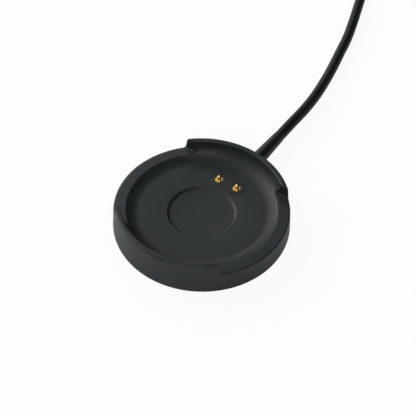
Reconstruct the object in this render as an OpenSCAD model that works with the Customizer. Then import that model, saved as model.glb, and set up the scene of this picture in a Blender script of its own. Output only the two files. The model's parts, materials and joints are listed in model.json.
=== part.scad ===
// Charging dock for a round smartwatch, with its captive USB cable.
// Lengths are millimetres. +Z is up, the dock stands on the plane z = 0 with its centre at the origin,
// and the cable leaves towards +Y. The straps of the watch run along X, over the two low sills.

/* [Dock housing] */
// Width of the flat rim round the dish, with its rounded edges
rim_w = 1.45; // [1.3:0.05:2]
// How much the wall leans in from foot to rim, on the radius
wall_lean = 0.35; // [0.1:0.05:0.6]
// Radius of the rounded edge at the foot of the wall
foot_edge_r = 1.3; // [0.8:0.1:1.5]
// Radius of the rounded outer edge of the rim
rim_edge_r = 0.6; // [0.3:0.1:0.8]
// Radius of the rounded inner edge of the rim
lip_edge_r = 0.35; // [0.2:0.05:0.5]
// Height of the housing's underside above the table
housing_lift = 0.3; // [0.2:0.05:0.5]
// Thickness of the skirt round the base cover
skirt_t = 1.65; // [1.4:0.05:2]
// Width of the ledge that the base cover seats against
ledge_w = 0.85; // [0.6:0.05:1]

/* [Dish] */
// Diameter of the dish at the rim
dish_d = 37.4; // [34:0.2:44]
// Depth of the dish below the rim
dish_depth = 4.2; // [3.6:0.1:5]
// Thickness of the dish's floor
floor_t = 1.2; // [1:0.1:1.6]
// Width of the land between the contact block and the round recess for the sensor window
recess_land = 1; // [0.5:0.1:2]
// Depth of the round recess
recess_depth = 0.5; // [0.3:0.05:0.6]
// Width of each strap cut-out in the wall
strap_w = 28; // [24:0.5:30]
// Depth of each strap cut-out below the rim
strap_depth = 3; // [2:0.1:3.2]
// Radius of the inner corners of a strap cut-out
strap_corner_r = 0.5; // [0.2:0.1:1]

/* [Base] */
// Thickness of the base cover
cover_t = 1.5; // [1.4:0.05:1.8]
// Clear height between the base cover and the dish's floor
hollow_h = 2; // [1.7:0.05:3]
// Gap between the base cover and the skirt
cover_gap = 0.1; // [0.05:0.05:0.2]
// Width of the cover's rim round the foot pad
cover_rim_w = 1.05; // [0.8:0.05:1.2]
// Depth of the recess that holds the foot pad
pad_recess = 0.6; // [0.4:0.05:0.65]
// Gap round the foot pad
pad_gap = 0.1; // [0.05:0.05:0.2]
// Radius of the pad's rounded lower edge
pad_edge_r = 0.25; // [0.1:0.05:0.3]
// Distance between a screw boss and the wall
screw_inset = 0.7; // [0.5:0.05:1]
// Outer diameter of a screw
screw_d = 1.6; // [1.4:0.1:1.8]
// Diameter of a screw's countersunk head
screw_head_d = 3; // [2.8:0.1:3.2]
// Height of a screw's head
screw_head_h = 0.7; // [0.6:0.05:0.75]
// Thickness of the floor that is left above a screw
screw_cover = 0.7; // [0.5:0.05:0.9]
// Diameter of a screw boss
boss_d = 3.8; // [3.4:0.1:4]

/* [Contacts and board] */
// Distance of the contacts from the edge of the dish's flat floor, on the cable's side
contact_inset = 3.7; // [3.3:0.1:4.2]
// Distance between the two contacts
contact_pitch = 5; // [4:0.5:6]
// How far a fully pressed contact still stands above the dish's floor
contact_left = 0.3; // [0.2:0.05:0.5]
// How far a contact travels when it is pressed
contact_travel = 0.9; // [0.6:0.1:0.9]
// Diameter of a contact's moving pin
plunger_d = 1; // [0.8:0.1:1.1]
// Outer diameter of a contact's barrel
barrel_d = 1.9; // [1.8:0.05:2]
// Thickness of a barrel's wall
barrel_wall = 0.23; // [0.2:0.01:0.25]
// Thickness of a spring's wire
spring_wire = 0.14; // [0.1:0.01:0.16]
// Turns of a spring
spring_turns = 6; // [4:1:7]
// Width of the moulded contact block
block_w = 3.6; // [3.2:0.1:3.8]
// Thickness of the contact block's flange
flange_t = 0.35; // [0.3:0.05:0.45]
// Thickness of the circuit board
board_t = 0.6; // [0.5:0.05:0.7]
// Width of the circuit board
board_w = 16; // [15:0.5:17]
// Length of the circuit board, towards the cable
board_l = 6.4; // [6:0.2:7]
// Diameter of a holding magnet
magnet_d = 7; // [6:0.5:8]
// Distance of each magnet's middle from the edge of the dish's flat floor
magnet_inset = 5.5; // [5:0.5:7]
// Distance of the magnets from the centre, away from the cable
magnet_y = 3; // [2:0.5:4]

/* [Cable] */
// Outer diameter of the cable
cable_d = 2.7; // [2.4:0.1:2.9]
// Height of the strain relief's underside above the housing's
exit_drop = 0.45; // [0.3:0.05:0.6]
// Thickness of the strain relief's wall where it leaves the dock
relief_root_wall = 0.5; // [0.35:0.05:0.65]
// Thickness of the strain relief's wall at its tip
relief_tip_wall = 0.125; // [0.1:0.025:0.3]
// Length of the strain relief outside the dock
relief_l = 13.95; // [10:0.05:16]
// Diameter of one of the two wires inside the cable
wire_d = 0.8; // [0.6:0.05:0.85]
// Width of the cable tie's band
tie_w = 3.6; // [3:0.2:5]
// Thickness of the cable tie's band
tie_t = 0.5; // [0.4:0.05:0.6]

/* [USB plug] */
// Length of the plug's moulded grip
grip_l = 22; // [20:0.5:24]
// Width of the grip
grip_w = 15.5; // [15:0.1:16]
// Thickness of the grip
grip_t = 7; // [6.8:0.1:8]
// Radius of the grip's long edges
grip_edge_r = 1.8; // [1.2:0.1:2.2]
// Width of the plug's metal shell
shell_w = 12; // [11.9:0.05:12.1]
// Height of the plug's metal shell
shell_h = 4.5; // [4.4:0.05:4.6]
// Length of the shell that stands out of the grip
shell_l = 18.75; // [18:0.05:19]
// Thickness of the shell's sheet metal
shell_t = 0.3; // [0.25:0.01:0.35]
// Length of the plug's own strain relief
plug_relief_l = 8; // [7:0.5:10]

/* [Hidden] */

// Fineness of large and small round shapes, and of a rounded edge
big_fn = 120;
small_fn = 48;
edge_steps = 6;
// Length by which a cut runs past what it cuts
past = 1;

// Gap between parts that lie face to face
block_gap = 0.05;

// Heights of the dock's layers, from the table up
cover_top = housing_lift + cover_t;
pad_top = housing_lift + pad_recess;
ceiling_z = cover_top + hollow_h;
dish_z = ceiling_z + floor_t;
rim_z = dish_z + dish_depth;
board_top = ceiling_z - block_gap - flange_t;
board_z = board_top - board_t;

// Radii of the dock, from the dish out and from the wall in
lip_r = dish_d / 2;
flat_r = lip_r - dish_depth;
rim_r = lip_r + rim_w;
foot_r = rim_r + wall_lean;
skirt_r = foot_r - skirt_t;
core_r = skirt_r - ledge_w;
cover_r = skirt_r - cover_gap;
pad_hole_r = cover_r - cover_rim_w;
under_r = dish_depth + floor_t;

// Screws, one of them opposite the cable
SCREW_ANGLES = [30, 150, 270];
screw_ring_r = core_r - boss_d / 2 - screw_inset;
screw_len = ceiling_z - pad_top - screw_cover;
screw_tip = 0.3;
hole_gap = 0.1;
thread_gap = 0.02;

// Contacts: running gap of the pin, and the parts inside a barrel
contact_y = flat_r - contact_inset;
recess_r = contact_y - block_w / 2 - recess_land - recess_depth;
run_gap = 0.03;
press_gap = 0.02;
collar_gap = 0.04;
collar_t = 0.35;
neck_t = 0.35;
barrel_z = cover_top + 0.25;
barrel_floor = 0.3;
barrel_r = barrel_d / 2;
barrel_bore_r = barrel_r - barrel_wall;
neck_z = dish_z - neck_t;
collar_top = neck_z - run_gap;
collar_z = collar_top - collar_t;
spring_z = barrel_z + barrel_floor;
solder_ring_t = 0.3;
solder_ring_r = barrel_r + 0.4;
block_end = 4;
block_l = contact_pitch + block_end;
block_flange = 0.8;

// Board posts and magnet cups on the base cover, and the chips under the board
board_y = contact_y - 0.2;
board_lift = board_z - cover_top;
fuse_h = board_lift - 0.5;
diode_h = board_lift - 0.3;
chip_back = 2.1;
chip_x = 1.3;
post_inset = 1.6;
post_x = board_w / 2 - post_inset;
post_r = 1.1;
post_pin_r = 0.45;
cup_wall = 0.7;
cup_h = 1;
magnet_gap = 0.05;
magnet_head_gap = 0.15;
magnet_x = flat_r - magnet_inset;
magnet_z = cover_top + magnet_gap;
magnet_t = hollow_h - magnet_gap - magnet_head_gap;

// Strain relief of the dock: its anchor inside the wall and its tapered length outside
anchor_y = core_r - 1.5;
anchor_t = 1.2;
anchor_w = 5.4;
anchor_gap = 0.05;
anchor_head_gap = 0.1;
relief_gap = 0.1;
relief_root_r = cable_d / 2 + relief_root_wall;
relief_tip_r = cable_d / 2 + relief_tip_wall;
relief_neck_r = relief_root_r - 0.15;
relief_root_y = rim_r - relief_gap;
relief_end_y = relief_root_y + relief_l;
exit_z = housing_lift + exit_drop + relief_root_r;
neck_y = anchor_y + anchor_t / 2;

// The coil: two layers of four turns, wide enough inside for the grip and the tie
cable_r = cable_d / 2;
COIL_AT = [0, 140];
coil_columns = 4;
coil_layers = 2;
tie_gap = 0.3;
grip_clear = 0.9;
coil_in_r = grip_w / 2 + grip_clear + tie_t + tie_gap;
coil_out_r = coil_in_r + (coil_columns + 1) * cable_d;
coil_h = coil_layers * cable_d;
cord_sides = 8;
tie_top_gap = tie_t + 0.1;
tie_bend_r = 0.3;
tie_twist_l = 9;
tie_twist_r = 0.9;

// The plug lies across the coil, tip towards the dock
plug_z = coil_h + grip_t / 2;
plug_front_y = 129;
grip_back_y = plug_front_y + grip_l;
shell_in = 6;
shell_tip_y = plug_front_y - shell_l;
shell_back_y = plug_front_y + shell_in;
fit_gap = 0.05;
core_w = 11;
core_h = 4;
relief_plug_r = 2.6;
relief_spigot_l = 5;
core_gap = 3;
core_l = grip_l - shell_in - relief_spigot_l - core_gap;
relief_spigot_r = 1.8;
tongue_t = 1.85;
tongue_tip = 1.2;
tongue_gap = 0.2;
tongue_low = plug_z - shell_h / 2 + shell_t + fit_gap;
contact_t = 0.15;
contact_w = 1;
contact_l = 8.4;
contact_back = 0.6;
// Place of each of the plug's contacts across the tongue, and how far it is set back
PLUG_CONTACTS = [[-3.5, 0], [-1, 1], [1, 1], [3.5, 0]];

// Route of the cable's middle line, from the dock's strain relief to the coil
LEAD_ROUTE = [[0, relief_end_y, exit_z], [0, relief_end_y + 1.6, exit_z], [-0.1, 39.5, 2.45],
    [-0.2, 43.5, 2.15], [-0.45, 48, 1.85], [-0.9, 52.5, 1.6], [-1.75, 58, 1.42], [-3, 64.5, 1.35],
    [-4.5, 71, 1.35], [-6, 77.5, 1.35],
    [-8, 84, 1.35], [-10.2, 90.5, 1.35], [-12.6, 97.5, 1.35], [-15, 104.5, 1.35], [-17.2, 111.5, 1.35],
    [-19, 118.5, 1.35], [-20.5, 125.5, 1.35], [-21.4, 132, 1.35]];
// Route from the coil to the plug's strain relief
tail_end_y = grip_back_y + plug_relief_l;
tail_straight = 1.5;
TAIL_ROUTE = [[-21.6, 148, 3.9], [-21.6, 153.5, 3], [-21.4, 159, 1.9], [-19.9, 164.5, 1.4],
    [-16.2, 168.6, 1.6], [-10.8, 170.2, 3], [-5.4, 168.6, 5.6], [-1.8, 165.2, 7.9],
    [-0.2, tail_end_y + 2 * tail_straight, plug_z - 0.1], [0, tail_end_y + tail_straight, plug_z],
    [0, tail_end_y, plug_z]];

// Points of an arc about c, from angle a to angle b
function arc(c, r, a, b, steps = edge_steps) =
    [for (i = [0:steps]) c + r * [cos(a + (b - a) * i / steps), sin(a + (b - a) * i / steps)]];

// Outline of a rectangle with rounded corners, about the origin
function rounded(w, h, r) = concat(
    arc([w / 2 - r, h / 2 - r], r, 0, 90), arc([r - w / 2, h / 2 - r], r, 90, 180),
    arc([r - w / 2, r - h / 2], r, 180, 270), arc([w / 2 - r, r - h / 2], r, 270, 360));

function unit(v) = v / norm(v);
function heading(p, i) = unit(p[min(i + 1, len(p) - 1)] - p[max(i - 1, 0)]);
function across(t) = unit(cross(t, [0, 0, 1]));
function ring(c, t, r, sides) = let (u = across(t), v = cross(u, t))
    [for (k = [0:sides - 1]) let (a = 360 * (k + 0.5) / sides) c + r * (cos(a) * u + sin(a) * v)];

// A closed tube of radius r along the points of a route
module tube(route, r, sides) {
    rings = [for (i = [0:len(route) - 1]) ring(route[i], heading(route, i), r, sides)];
    points = [for (one = rings) for (p = one) p];
    last = (len(route) - 1) * sides;
    walls = [for (i = [0:len(route) - 2]) for (k = [0:sides - 1]) let (a = i * sides, b = a + sides,
        n = (k + 1) % sides) for (face = [[a + k, a + n, b + n], [a + k, b + n, b + k]]) face];
    ends = [[for (k = [sides - 1:-1:0]) k], [for (k = [0:sides - 1]) last + k]];
    polyhedron(points, concat(walls, ends), convexity = 6);
}

// Height of the hollow's roof under the bowl, at a distance from the centre
function roof_z(r) = rim_z - sqrt(under_r * under_r - (r - flat_r) * (r - flat_r));

// Turned section of the housing: wall, rim, dish, floor and the hollow under them
module shell_section() {
    under_end = atan2(roof_z(core_r) - rim_z, core_r - flat_r);
    bowl_end = -asin(lip_edge_r / dish_depth);
    polygon(concat(
        [[skirt_r, housing_lift]],
        arc([foot_r - foot_edge_r, housing_lift + foot_edge_r], foot_edge_r, -90, 0),
        arc([rim_r - rim_edge_r, rim_z - rim_edge_r], rim_edge_r, 0, 90),
        arc([lip_r + lip_edge_r, rim_z - lip_edge_r], lip_edge_r, 90, 180),
        arc([flat_r, rim_z], dish_depth, bowl_end, -90, 2 * edge_steps),
        [[recess_r + recess_depth, dish_z], [recess_r, dish_z - recess_depth], [0, dish_z - recess_depth],
            [0, ceiling_z]],
        arc([flat_r, rim_z], under_r, -90, under_end, 2 * edge_steps),
        [[core_r, cover_top], [skirt_r, cover_top]]));
}

module at_screws() {
    for (a = SCREW_ANGLES) rotate(a) translate([screw_ring_r, 0, 0]) children();
}

module at_contact(side) {
    translate([side * contact_pitch / 2, contact_y, 0]) children();
}

// A cylinder along +Y at the height of the cable's exit
module along_exit(y0, y1, r0, r1) {
    translate([0, y0, exit_z]) rotate([-90, 0, 0]) cylinder(h = y1 - y0, r1 = r0, r2 = r1, $fn = small_fn);
}

module obround(l, w, h) {
    linear_extrude(h) union() {
        square([l - w, w], center = true);
        for (side = [-1, 1]) translate([side * (l - w) / 2, 0]) circle(d = w, $fn = small_fn);
    }
}

// Cross-section of the cut-outs for the strap, open above
module strap_section() {
    side = strap_w / 2 - strap_corner_r;
    polygon(concat([[-strap_w / 2, strap_depth + past]],
        arc([-side, strap_corner_r], strap_corner_r, 180, 270),
        arc([side, strap_corner_r], strap_corner_r, 270, 360),
        [[strap_w / 2, strap_depth + past]]));
}

module cradle_shell() {
    slot_r = relief_root_r + relief_gap;
    color("#35393a") difference() {
        union() {
            rotate_extrude($fn = big_fn) shell_section();
            intersection() {
                at_screws() translate([0, 0, cover_top])
                    cylinder(h = dish_z - cover_top, d = boss_d, $fn = small_fn);
                translate([0, 0, cover_top])
                    cylinder(h = hollow_h + floor_t / 2, r = core_r + ledge_w / 2, $fn = big_fn);
            }
        }
        translate([-foot_r - past, 0, rim_z - strap_depth]) rotate([90, 0, 90])
            linear_extrude(2 * (foot_r + past)) strap_section();
        translate([0, contact_y, ceiling_z - past])
            obround(block_l + 2 * block_gap, block_w + 2 * block_gap, floor_t + 2 * past);
        at_screws() translate([0, 0, cover_top - past])
            cylinder(h = past + screw_len, d = screw_d + 2 * thread_gap, $fn = small_fn);
        along_exit(anchor_y + anchor_t, foot_r + past, slot_r, slot_r);
        translate([-slot_r, anchor_y + anchor_t, 0]) cube([2 * slot_r, foot_r, exit_z]);
    }
}

module base_cover() {
    color("#2c2f30") difference() {
        union() {
            translate([0, 0, housing_lift]) cylinder(h = cover_t, r = cover_r, $fn = big_fn);
            intersection() {
                translate([-relief_root_r, 0, housing_lift]) cube([2 * relief_root_r, relief_root_y, cover_t]);
                rotate_extrude($fn = big_fn) polygon(concat([[0, housing_lift]],
                    arc([foot_r - foot_edge_r, housing_lift + foot_edge_r], foot_edge_r, -90, 0),
                    [[foot_r, cover_top], [0, cover_top]]));
            }
            for (side = [-1, 1]) {
                translate([side * magnet_x, -magnet_y, cover_top])
                    cylinder(h = cup_h, d = magnet_d + 2 * cup_wall + 2 * magnet_gap, $fn = small_fn);
                translate([side * post_x, board_y, cover_top]) {
                    cylinder(h = board_lift, r = post_r, $fn = small_fn);
                    cylinder(h = board_lift + board_t, r = post_pin_r, $fn = small_fn);
                }
            }
        }
        translate([0, 0, housing_lift - past]) cylinder(h = pad_recess + past, r = pad_hole_r, $fn = big_fn);
        for (side = [-1, 1]) translate([side * magnet_x, -magnet_y, cover_top])
            cylinder(h = cup_h + past, d = magnet_d + 2 * magnet_gap, $fn = small_fn);
        at_screws() {
            translate([0, 0, pad_top - past])
                cylinder(h = cover_t + 2 * past, d = screw_d + 2 * hole_gap, $fn = small_fn);
            translate([0, 0, pad_top - past])
                cylinder(h = past + screw_head_h / 2, d = screw_head_d + 2 * hole_gap, $fn = small_fn);
            translate([0, 0, pad_top + screw_head_h / 2])
                cylinder(h = screw_head_h / 2, d1 = screw_head_d + 2 * hole_gap, d2 = screw_d + 2 * hole_gap,
                    $fn = small_fn);
        }
        along_exit(neck_y - relief_gap, foot_r + past,
            relief_neck_r + relief_gap, relief_neck_r + relief_gap);
    }
}

module foot_pad() {
    pad_r = pad_hole_r - pad_gap;
    color("#1d1f20") rotate_extrude($fn = big_fn) polygon(concat(
        [[0, 0]], arc([pad_r - pad_edge_r, pad_edge_r], pad_edge_r, -90, 0),
        [[pad_r, pad_top - block_gap], [0, pad_top - block_gap]]));
}

module base_screws() {
    slot_w = 0.5;
    slot_h = 0.35;
    color("#8d9092") at_screws() difference() {
        translate([0, 0, pad_top]) rotate_extrude($fn = small_fn) polygon([
            [0, 0], [screw_head_d / 2, 0], [screw_head_d / 2, screw_head_h / 2 - hole_gap],
            [screw_d / 2, screw_head_h - hole_gap], [screw_d / 2, screw_len],
            [screw_d / 4, screw_len + screw_tip], [0, screw_len + screw_tip]]);
        for (a = [0, 90]) rotate(a) translate([-screw_head_d * 0.3, -slot_w / 2, pad_top - past])
            cube([screw_head_d * 0.6, slot_w, slot_h + past]);
    }
}

module contact_block() {
    color("#18191a") difference() {
        translate([0, contact_y, 0]) {
            translate([0, 0, board_top])
                obround(block_l + 2 * block_flange, block_w + 2 * block_flange, flange_t);
            translate([0, 0, board_top]) obround(block_l, block_w, dish_z - board_top);
        }
        for (side = [-1, 1]) at_contact(side) translate([0, 0, board_top - past])
            cylinder(h = dish_z - board_top + 2 * past, r = barrel_r + press_gap, $fn = small_fn);
    }
}

module circuit_board() {
    color("#1f5a3a") difference() {
        translate([0, board_y, board_z]) linear_extrude(board_t) polygon(rounded(board_w, board_l, 0.8));
        for (side = [-1, 1]) {
            at_contact(side) translate([0, 0, board_z - past])
                cylinder(h = board_t + 2 * past, r = barrel_r + press_gap, $fn = small_fn);
            translate([side * post_x, board_y, board_z - past])
                cylinder(h = board_t + 2 * past, r = post_pin_r + press_gap, $fn = small_fn);
        }
    }
}

// A small part under the circuit board, with its two metal ends as steps
module board_part(x, size) {
    end_l = 0.3;
    step = 0.1;
    translate([x, board_y - chip_back, board_z - size[2] / 2]) {
        cube([size[0], size[1] - step, size[2] - step], center = true);
        for (side = [-1, 1]) translate([side * (size[0] - end_l) / 2, 0, 0])
            cube([end_l, size[1], size[2]], center = true);
    }
}

module fuse_chip() {
    color("#3d7d46") board_part(-chip_x, [1.6, 0.8, fuse_h]);
}

module surge_diode() {
    color("#202122") board_part(chip_x, [1.5, 1.2, diode_h]);
}

module magnet(side) {
    chamfer = 0.15;
    r = magnet_d / 2;
    color("#b9bbbd") translate([side * magnet_x, -magnet_y, magnet_z]) rotate_extrude($fn = small_fn)
        polygon([[0, 0], [r - chamfer, 0], [r, chamfer], [r, magnet_t - chamfer], [r - chamfer, magnet_t],
            [0, magnet_t]]);
}

module left_magnet() { magnet(-1); }
module right_magnet() { magnet(1); }

// Turned brass barrel of a contact: a blind bore, closed above by a neck that stops the pin
module pin_barrel(side) {
    color("#c9a75a") at_contact(side) rotate_extrude($fn = small_fn) polygon([
        [0, barrel_z], [barrel_r, barrel_z], [barrel_r, board_z - solder_ring_t],
        [solder_ring_r, board_z - solder_ring_t], [solder_ring_r, board_z], [barrel_r, board_z],
        [barrel_r, dish_z], [plunger_d / 2 + run_gap, dish_z], [plunger_d / 2 + run_gap, neck_z],
        [barrel_bore_r, neck_z], [barrel_bore_r, spring_z], [0, spring_z]]);
}

module left_pin_barrel() { pin_barrel(-1); }
module right_pin_barrel() { pin_barrel(1); }

// Moving pin of a contact: a collar that stays in the barrel and a domed tip
module pin_plunger(side) {
    r = plunger_d / 2;
    collar_r = barrel_bore_r - collar_gap;
    tip_z = dish_z + contact_left + contact_travel;
    color("#e0bd6a") at_contact(side) rotate_extrude($fn = small_fn) polygon(concat(
        [[0, collar_z], [collar_r, collar_z], [collar_r, collar_top], [r, collar_top]],
        arc([0, tip_z - r], r, 0, 90)));
}

module left_pin_plunger() { pin_plunger(-1); }
module right_pin_plunger() { pin_plunger(1); }

// Coil spring between the barrel's floor and the pin's collar
module pin_spring(side) {
    steps = 10;
    r = barrel_bore_r - spring_wire / 2 - 0.07;
    low = spring_z + spring_wire / 2 + 0.02;
    high = collar_z - spring_wire / 2 - 0.02;
    turns = spring_turns;
    helix = [for (i = [0:turns * steps]) let (a = 360 * i / steps)
        [r * cos(a), r * sin(a), low + (high - low) * i / (turns * steps)]];
    color("#c7cacc") at_contact(side) tube(helix, spring_wire / 2, 6);
}

module left_pin_spring() { pin_spring(-1); }
module right_pin_spring() { pin_spring(1); }

// Insulated wire from the anchor to the edge of the circuit board
module lead_wire(side) {
    z = (board_z + board_top) / 2;
    end_y = board_y + board_l / 2 + block_gap;
    tube([[side * 0.6, anchor_y, exit_z], [side * 0.6, anchor_y - 0.5, exit_z],
        [side * 0.9, (anchor_y + end_y) / 2, (exit_z + z) / 2], [side * 1.1, end_y + 0.5, z],
        [side * 1.1, end_y, z]], wire_d / 2, cord_sides);
}

module power_wire() { color("#b3261e") lead_wire(1); }
module ground_wire() { color("#1b1c1d") lead_wire(-1); }

// Moulded strain relief: an anchor plate inside, a neck through the wall and a long taper outside
module dock_strain_relief() {
    plate_low = cover_top + anchor_gap;
    plate_high = roof_z(anchor_y) - anchor_head_gap;
    color("#1b1d1e") union() {
        translate([-anchor_w / 2, anchor_y, plate_low])
            cube([anchor_w, anchor_t - anchor_gap, plate_high - plate_low]);
        along_exit(neck_y, relief_root_y + relief_gap / 2, relief_neck_r, relief_neck_r);
        along_exit(relief_root_y, relief_end_y, relief_root_r, relief_tip_r);
    }
}

module cable_lead() {
    color("#17191a") tube(LEAD_ROUTE, cable_r, cord_sides);
}

module cable_tail() {
    color("#17191a") tube(TAIL_ROUTE, cable_r, cord_sides);
}

// Outer shape of the wound turns, with a shallow channel where the tie passes under them
module cable_coil() {
    channel = tie_w + 0.4;
    color("#17191a") translate([COIL_AT[0], COIL_AT[1], 0]) difference() {
        rotate_extrude($fn = big_fn) translate([(coil_in_r + coil_out_r) / 2, coil_h / 2])
            polygon(rounded(coil_out_r - coil_in_r, coil_h, cable_r));
        translate([0, -channel / 2, -past]) cube([coil_out_r + past, channel, past + tie_t + block_gap]);
    }
}

// Flat wire tie round the turns, with its twisted ends laid along the coil
module coil_tie() {
    low = coil_in_r - tie_gap - tie_t;
    high = coil_out_r + tie_gap + tie_t;
    top = coil_h + tie_top_gap + tie_t;
    color("#202223") translate([COIL_AT[0], COIL_AT[1], 0]) union() {
        translate([(low + high) / 2, tie_w / 2, top / 2]) rotate([90, 0, 0]) linear_extrude(tie_w)
            difference() {
                polygon(rounded(high - low, top, tie_bend_r + tie_t));
                polygon(rounded(high - low - 2 * tie_t, top - 2 * tie_t, tie_bend_r));
            }
        translate([high + tie_twist_r - tie_t, 0, top / 2]) rotate([-90, 0, 0])
            cylinder(h = tie_twist_l, r = tie_twist_r, $fn = small_fn);
    }
}

// A cylinder along +Y in the plug's own axis
module along_plug(y0, y1, r0, r1) {
    translate([0, y0, plug_z]) rotate([-90, 0, 0]) cylinder(h = y1 - y0, r1 = r0, r2 = r1, $fn = small_fn);
}

// A block along +Y with rounded long edges, in the plug's own axis
module plug_bar(y0, y1, w, h, r) {
    translate([0, y1, plug_z]) rotate([90, 0, 0]) linear_extrude(y1 - y0) polygon(rounded(w, h, r));
}

module plug_strain_relief() {
    slots = 3;
    slot_pitch = 2;
    slot_w = 0.7;
    slot_in = 1;
    color("#191b1c") difference() {
        union() {
            along_plug(grip_back_y - relief_spigot_l, grip_back_y + 0.5, relief_spigot_r, relief_spigot_r);
            along_plug(grip_back_y, tail_end_y, relief_plug_r, cable_r + 0.35);
        }
        for (i = [0:slots - 1]) for (side = [-1, 1])
            translate([side * (2 * relief_plug_r - slot_in), grip_back_y + 1.6 + slot_pitch * i, plug_z])
                cube([2 * relief_plug_r, slot_w, 2 * relief_plug_r], center = true);
    }
}

module plug_grip() {
    corner_r = 2.5;
    grooves = 4;
    groove_pitch = 2.2;
    groove_r = 3;
    groove_depth = 0.3;
    color("#1d1f20") difference() {
        intersection() {
            plug_bar(plug_front_y, grip_back_y, grip_w, grip_t, grip_edge_r);
            translate([0, (plug_front_y + grip_back_y) / 2, plug_z - grip_t]) linear_extrude(2 * grip_t)
                polygon(rounded(grip_w, grip_l, corner_r));
        }
        plug_bar(plug_front_y - past, shell_back_y + fit_gap,
            shell_w + 2 * fit_gap, shell_h + 2 * fit_gap, 0.6);
        plug_bar(shell_back_y - past, shell_back_y + core_l + fit_gap,
            core_w + 2 * fit_gap, core_h + 2 * fit_gap, 0.4);
        along_plug(shell_back_y + core_l, grip_back_y + past,
            relief_spigot_r + fit_gap, relief_spigot_r + fit_gap);
        for (i = [0:grooves - 1]) for (side = [-1, 1])
            translate([0, plug_front_y + grip_l / 2 + groove_pitch * (i - 0.5), plug_z])
                translate([0, 0, side * (grip_t / 2 + groove_r - groove_depth)]) rotate([0, 90, 0])
                    cylinder(h = grip_w / 2, r = groove_r, center = true, $fn = small_fn);
    }
}

module plug_core() {
    color("#e9e8e2") plug_bar(shell_back_y, shell_back_y + core_l, core_w, core_h, 0.35);
}

module plug_shell() {
    window = 2.3;
    window_x = 2.9;
    window_y = 5.2;
    color("#c3c5c6") difference() {
        plug_bar(shell_tip_y, shell_back_y, shell_w, shell_h, 0.55);
        plug_bar(shell_tip_y - past, shell_back_y + past, shell_w - 2 * shell_t, shell_h - 2 * shell_t, 0.3);
        for (side = [-1, 1]) translate([side * window_x, shell_tip_y + window_y + window / 2, plug_z])
            cube([window, window, 2 * shell_h], center = true);
    }
}

module plug_tongue() {
    w = shell_w - 2 * shell_t - 2 * tongue_gap;
    y0 = shell_tip_y + tongue_tip;
    color("#ecebe6") translate([-w / 2, y0, tongue_low]) cube([w, shell_back_y - y0, tongue_t]);
}

module plug_contacts() {
    y0 = shell_tip_y + tongue_tip + contact_back;
    color("#d9b45c") for (one = PLUG_CONTACTS)
        translate([one[0] - contact_w / 2, y0 + one[1], tongue_low + tongue_t])
            cube([contact_w, contact_l - one[1], contact_t]);
}

cradle_shell();
base_cover();
foot_pad();
base_screws();
contact_block();
circuit_board();
fuse_chip();
surge_diode();
left_magnet();
right_magnet();
left_pin_barrel();
right_pin_barrel();
left_pin_plunger();
right_pin_plunger();
left_pin_spring();
right_pin_spring();
power_wire();
ground_wire();
dock_strain_relief();
cable_lead();
cable_coil();
cable_tail();
coil_tie();
plug_strain_relief();
plug_grip();
plug_core();
plug_shell();
plug_tongue();
plug_contacts();
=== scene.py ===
"""Looks of a charging dock for a round smartwatch, with its captive USB cable wound up behind it.

Lengths are millimetres, as in the part's source, and every mesh is made in metres. The dock stands on the
plane z = 0 with its centre at the origin, and the cable leaves it towards +Y.
"""

import json
import logging
import math
from collections.abc import Callable
from dataclasses import dataclass
from enum import Enum

import bmesh
import bpy
import numpy as np
from mathutils import Matrix, Vector

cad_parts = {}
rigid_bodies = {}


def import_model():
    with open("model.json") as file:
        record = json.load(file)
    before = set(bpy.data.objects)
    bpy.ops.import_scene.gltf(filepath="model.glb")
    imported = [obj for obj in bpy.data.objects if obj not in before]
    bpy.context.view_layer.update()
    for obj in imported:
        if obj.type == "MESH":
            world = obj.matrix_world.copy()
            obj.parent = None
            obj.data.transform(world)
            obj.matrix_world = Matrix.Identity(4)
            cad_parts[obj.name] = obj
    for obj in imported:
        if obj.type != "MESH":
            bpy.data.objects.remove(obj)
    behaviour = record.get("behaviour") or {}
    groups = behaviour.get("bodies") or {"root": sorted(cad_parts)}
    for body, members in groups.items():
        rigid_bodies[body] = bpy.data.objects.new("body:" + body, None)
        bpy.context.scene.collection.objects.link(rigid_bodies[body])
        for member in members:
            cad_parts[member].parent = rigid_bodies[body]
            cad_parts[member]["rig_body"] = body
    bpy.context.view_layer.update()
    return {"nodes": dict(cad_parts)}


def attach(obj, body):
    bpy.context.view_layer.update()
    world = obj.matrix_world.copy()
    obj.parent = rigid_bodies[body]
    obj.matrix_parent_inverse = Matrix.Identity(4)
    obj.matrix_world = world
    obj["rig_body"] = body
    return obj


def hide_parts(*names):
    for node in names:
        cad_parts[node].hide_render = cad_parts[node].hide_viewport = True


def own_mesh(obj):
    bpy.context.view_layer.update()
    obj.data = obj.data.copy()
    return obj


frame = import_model()

LOG = logging.getLogger("charging_dock")
MM = 0.001
Colour = tuple[float, float, float]
Value = float | tuple[float, ...] | bpy.types.NodeSocket
Sockets = dict[str, bpy.types.NodeSocket]


class Axis(Enum):
    """Direction that a turned piece's own axis takes."""

    UP = "up"
    BACK = "back"


class Follow(Enum):
    """What the pattern of a finish is laid out on."""

    OBJECT = "object"
    SWEEP = "sweep"


def arc(centre: tuple[float, float], radius: float, start: float, end: float, steps: int) -> np.ndarray:
    """Points of a circular arc in a plane, at even angles.

    Args:
        centre: Middle of the circle.
        radius: Its radius.
        start: Angle of the first point, in degrees.
        end: Angle of the last point, in degrees.
        steps: Number of stretches between the points.

    Returns:
        One row for each point.
    """
    angle = np.radians(np.linspace(start, end, steps + 1))
    return np.array(centre) + radius * np.stack([np.cos(angle), np.sin(angle)], axis=-1)


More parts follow.
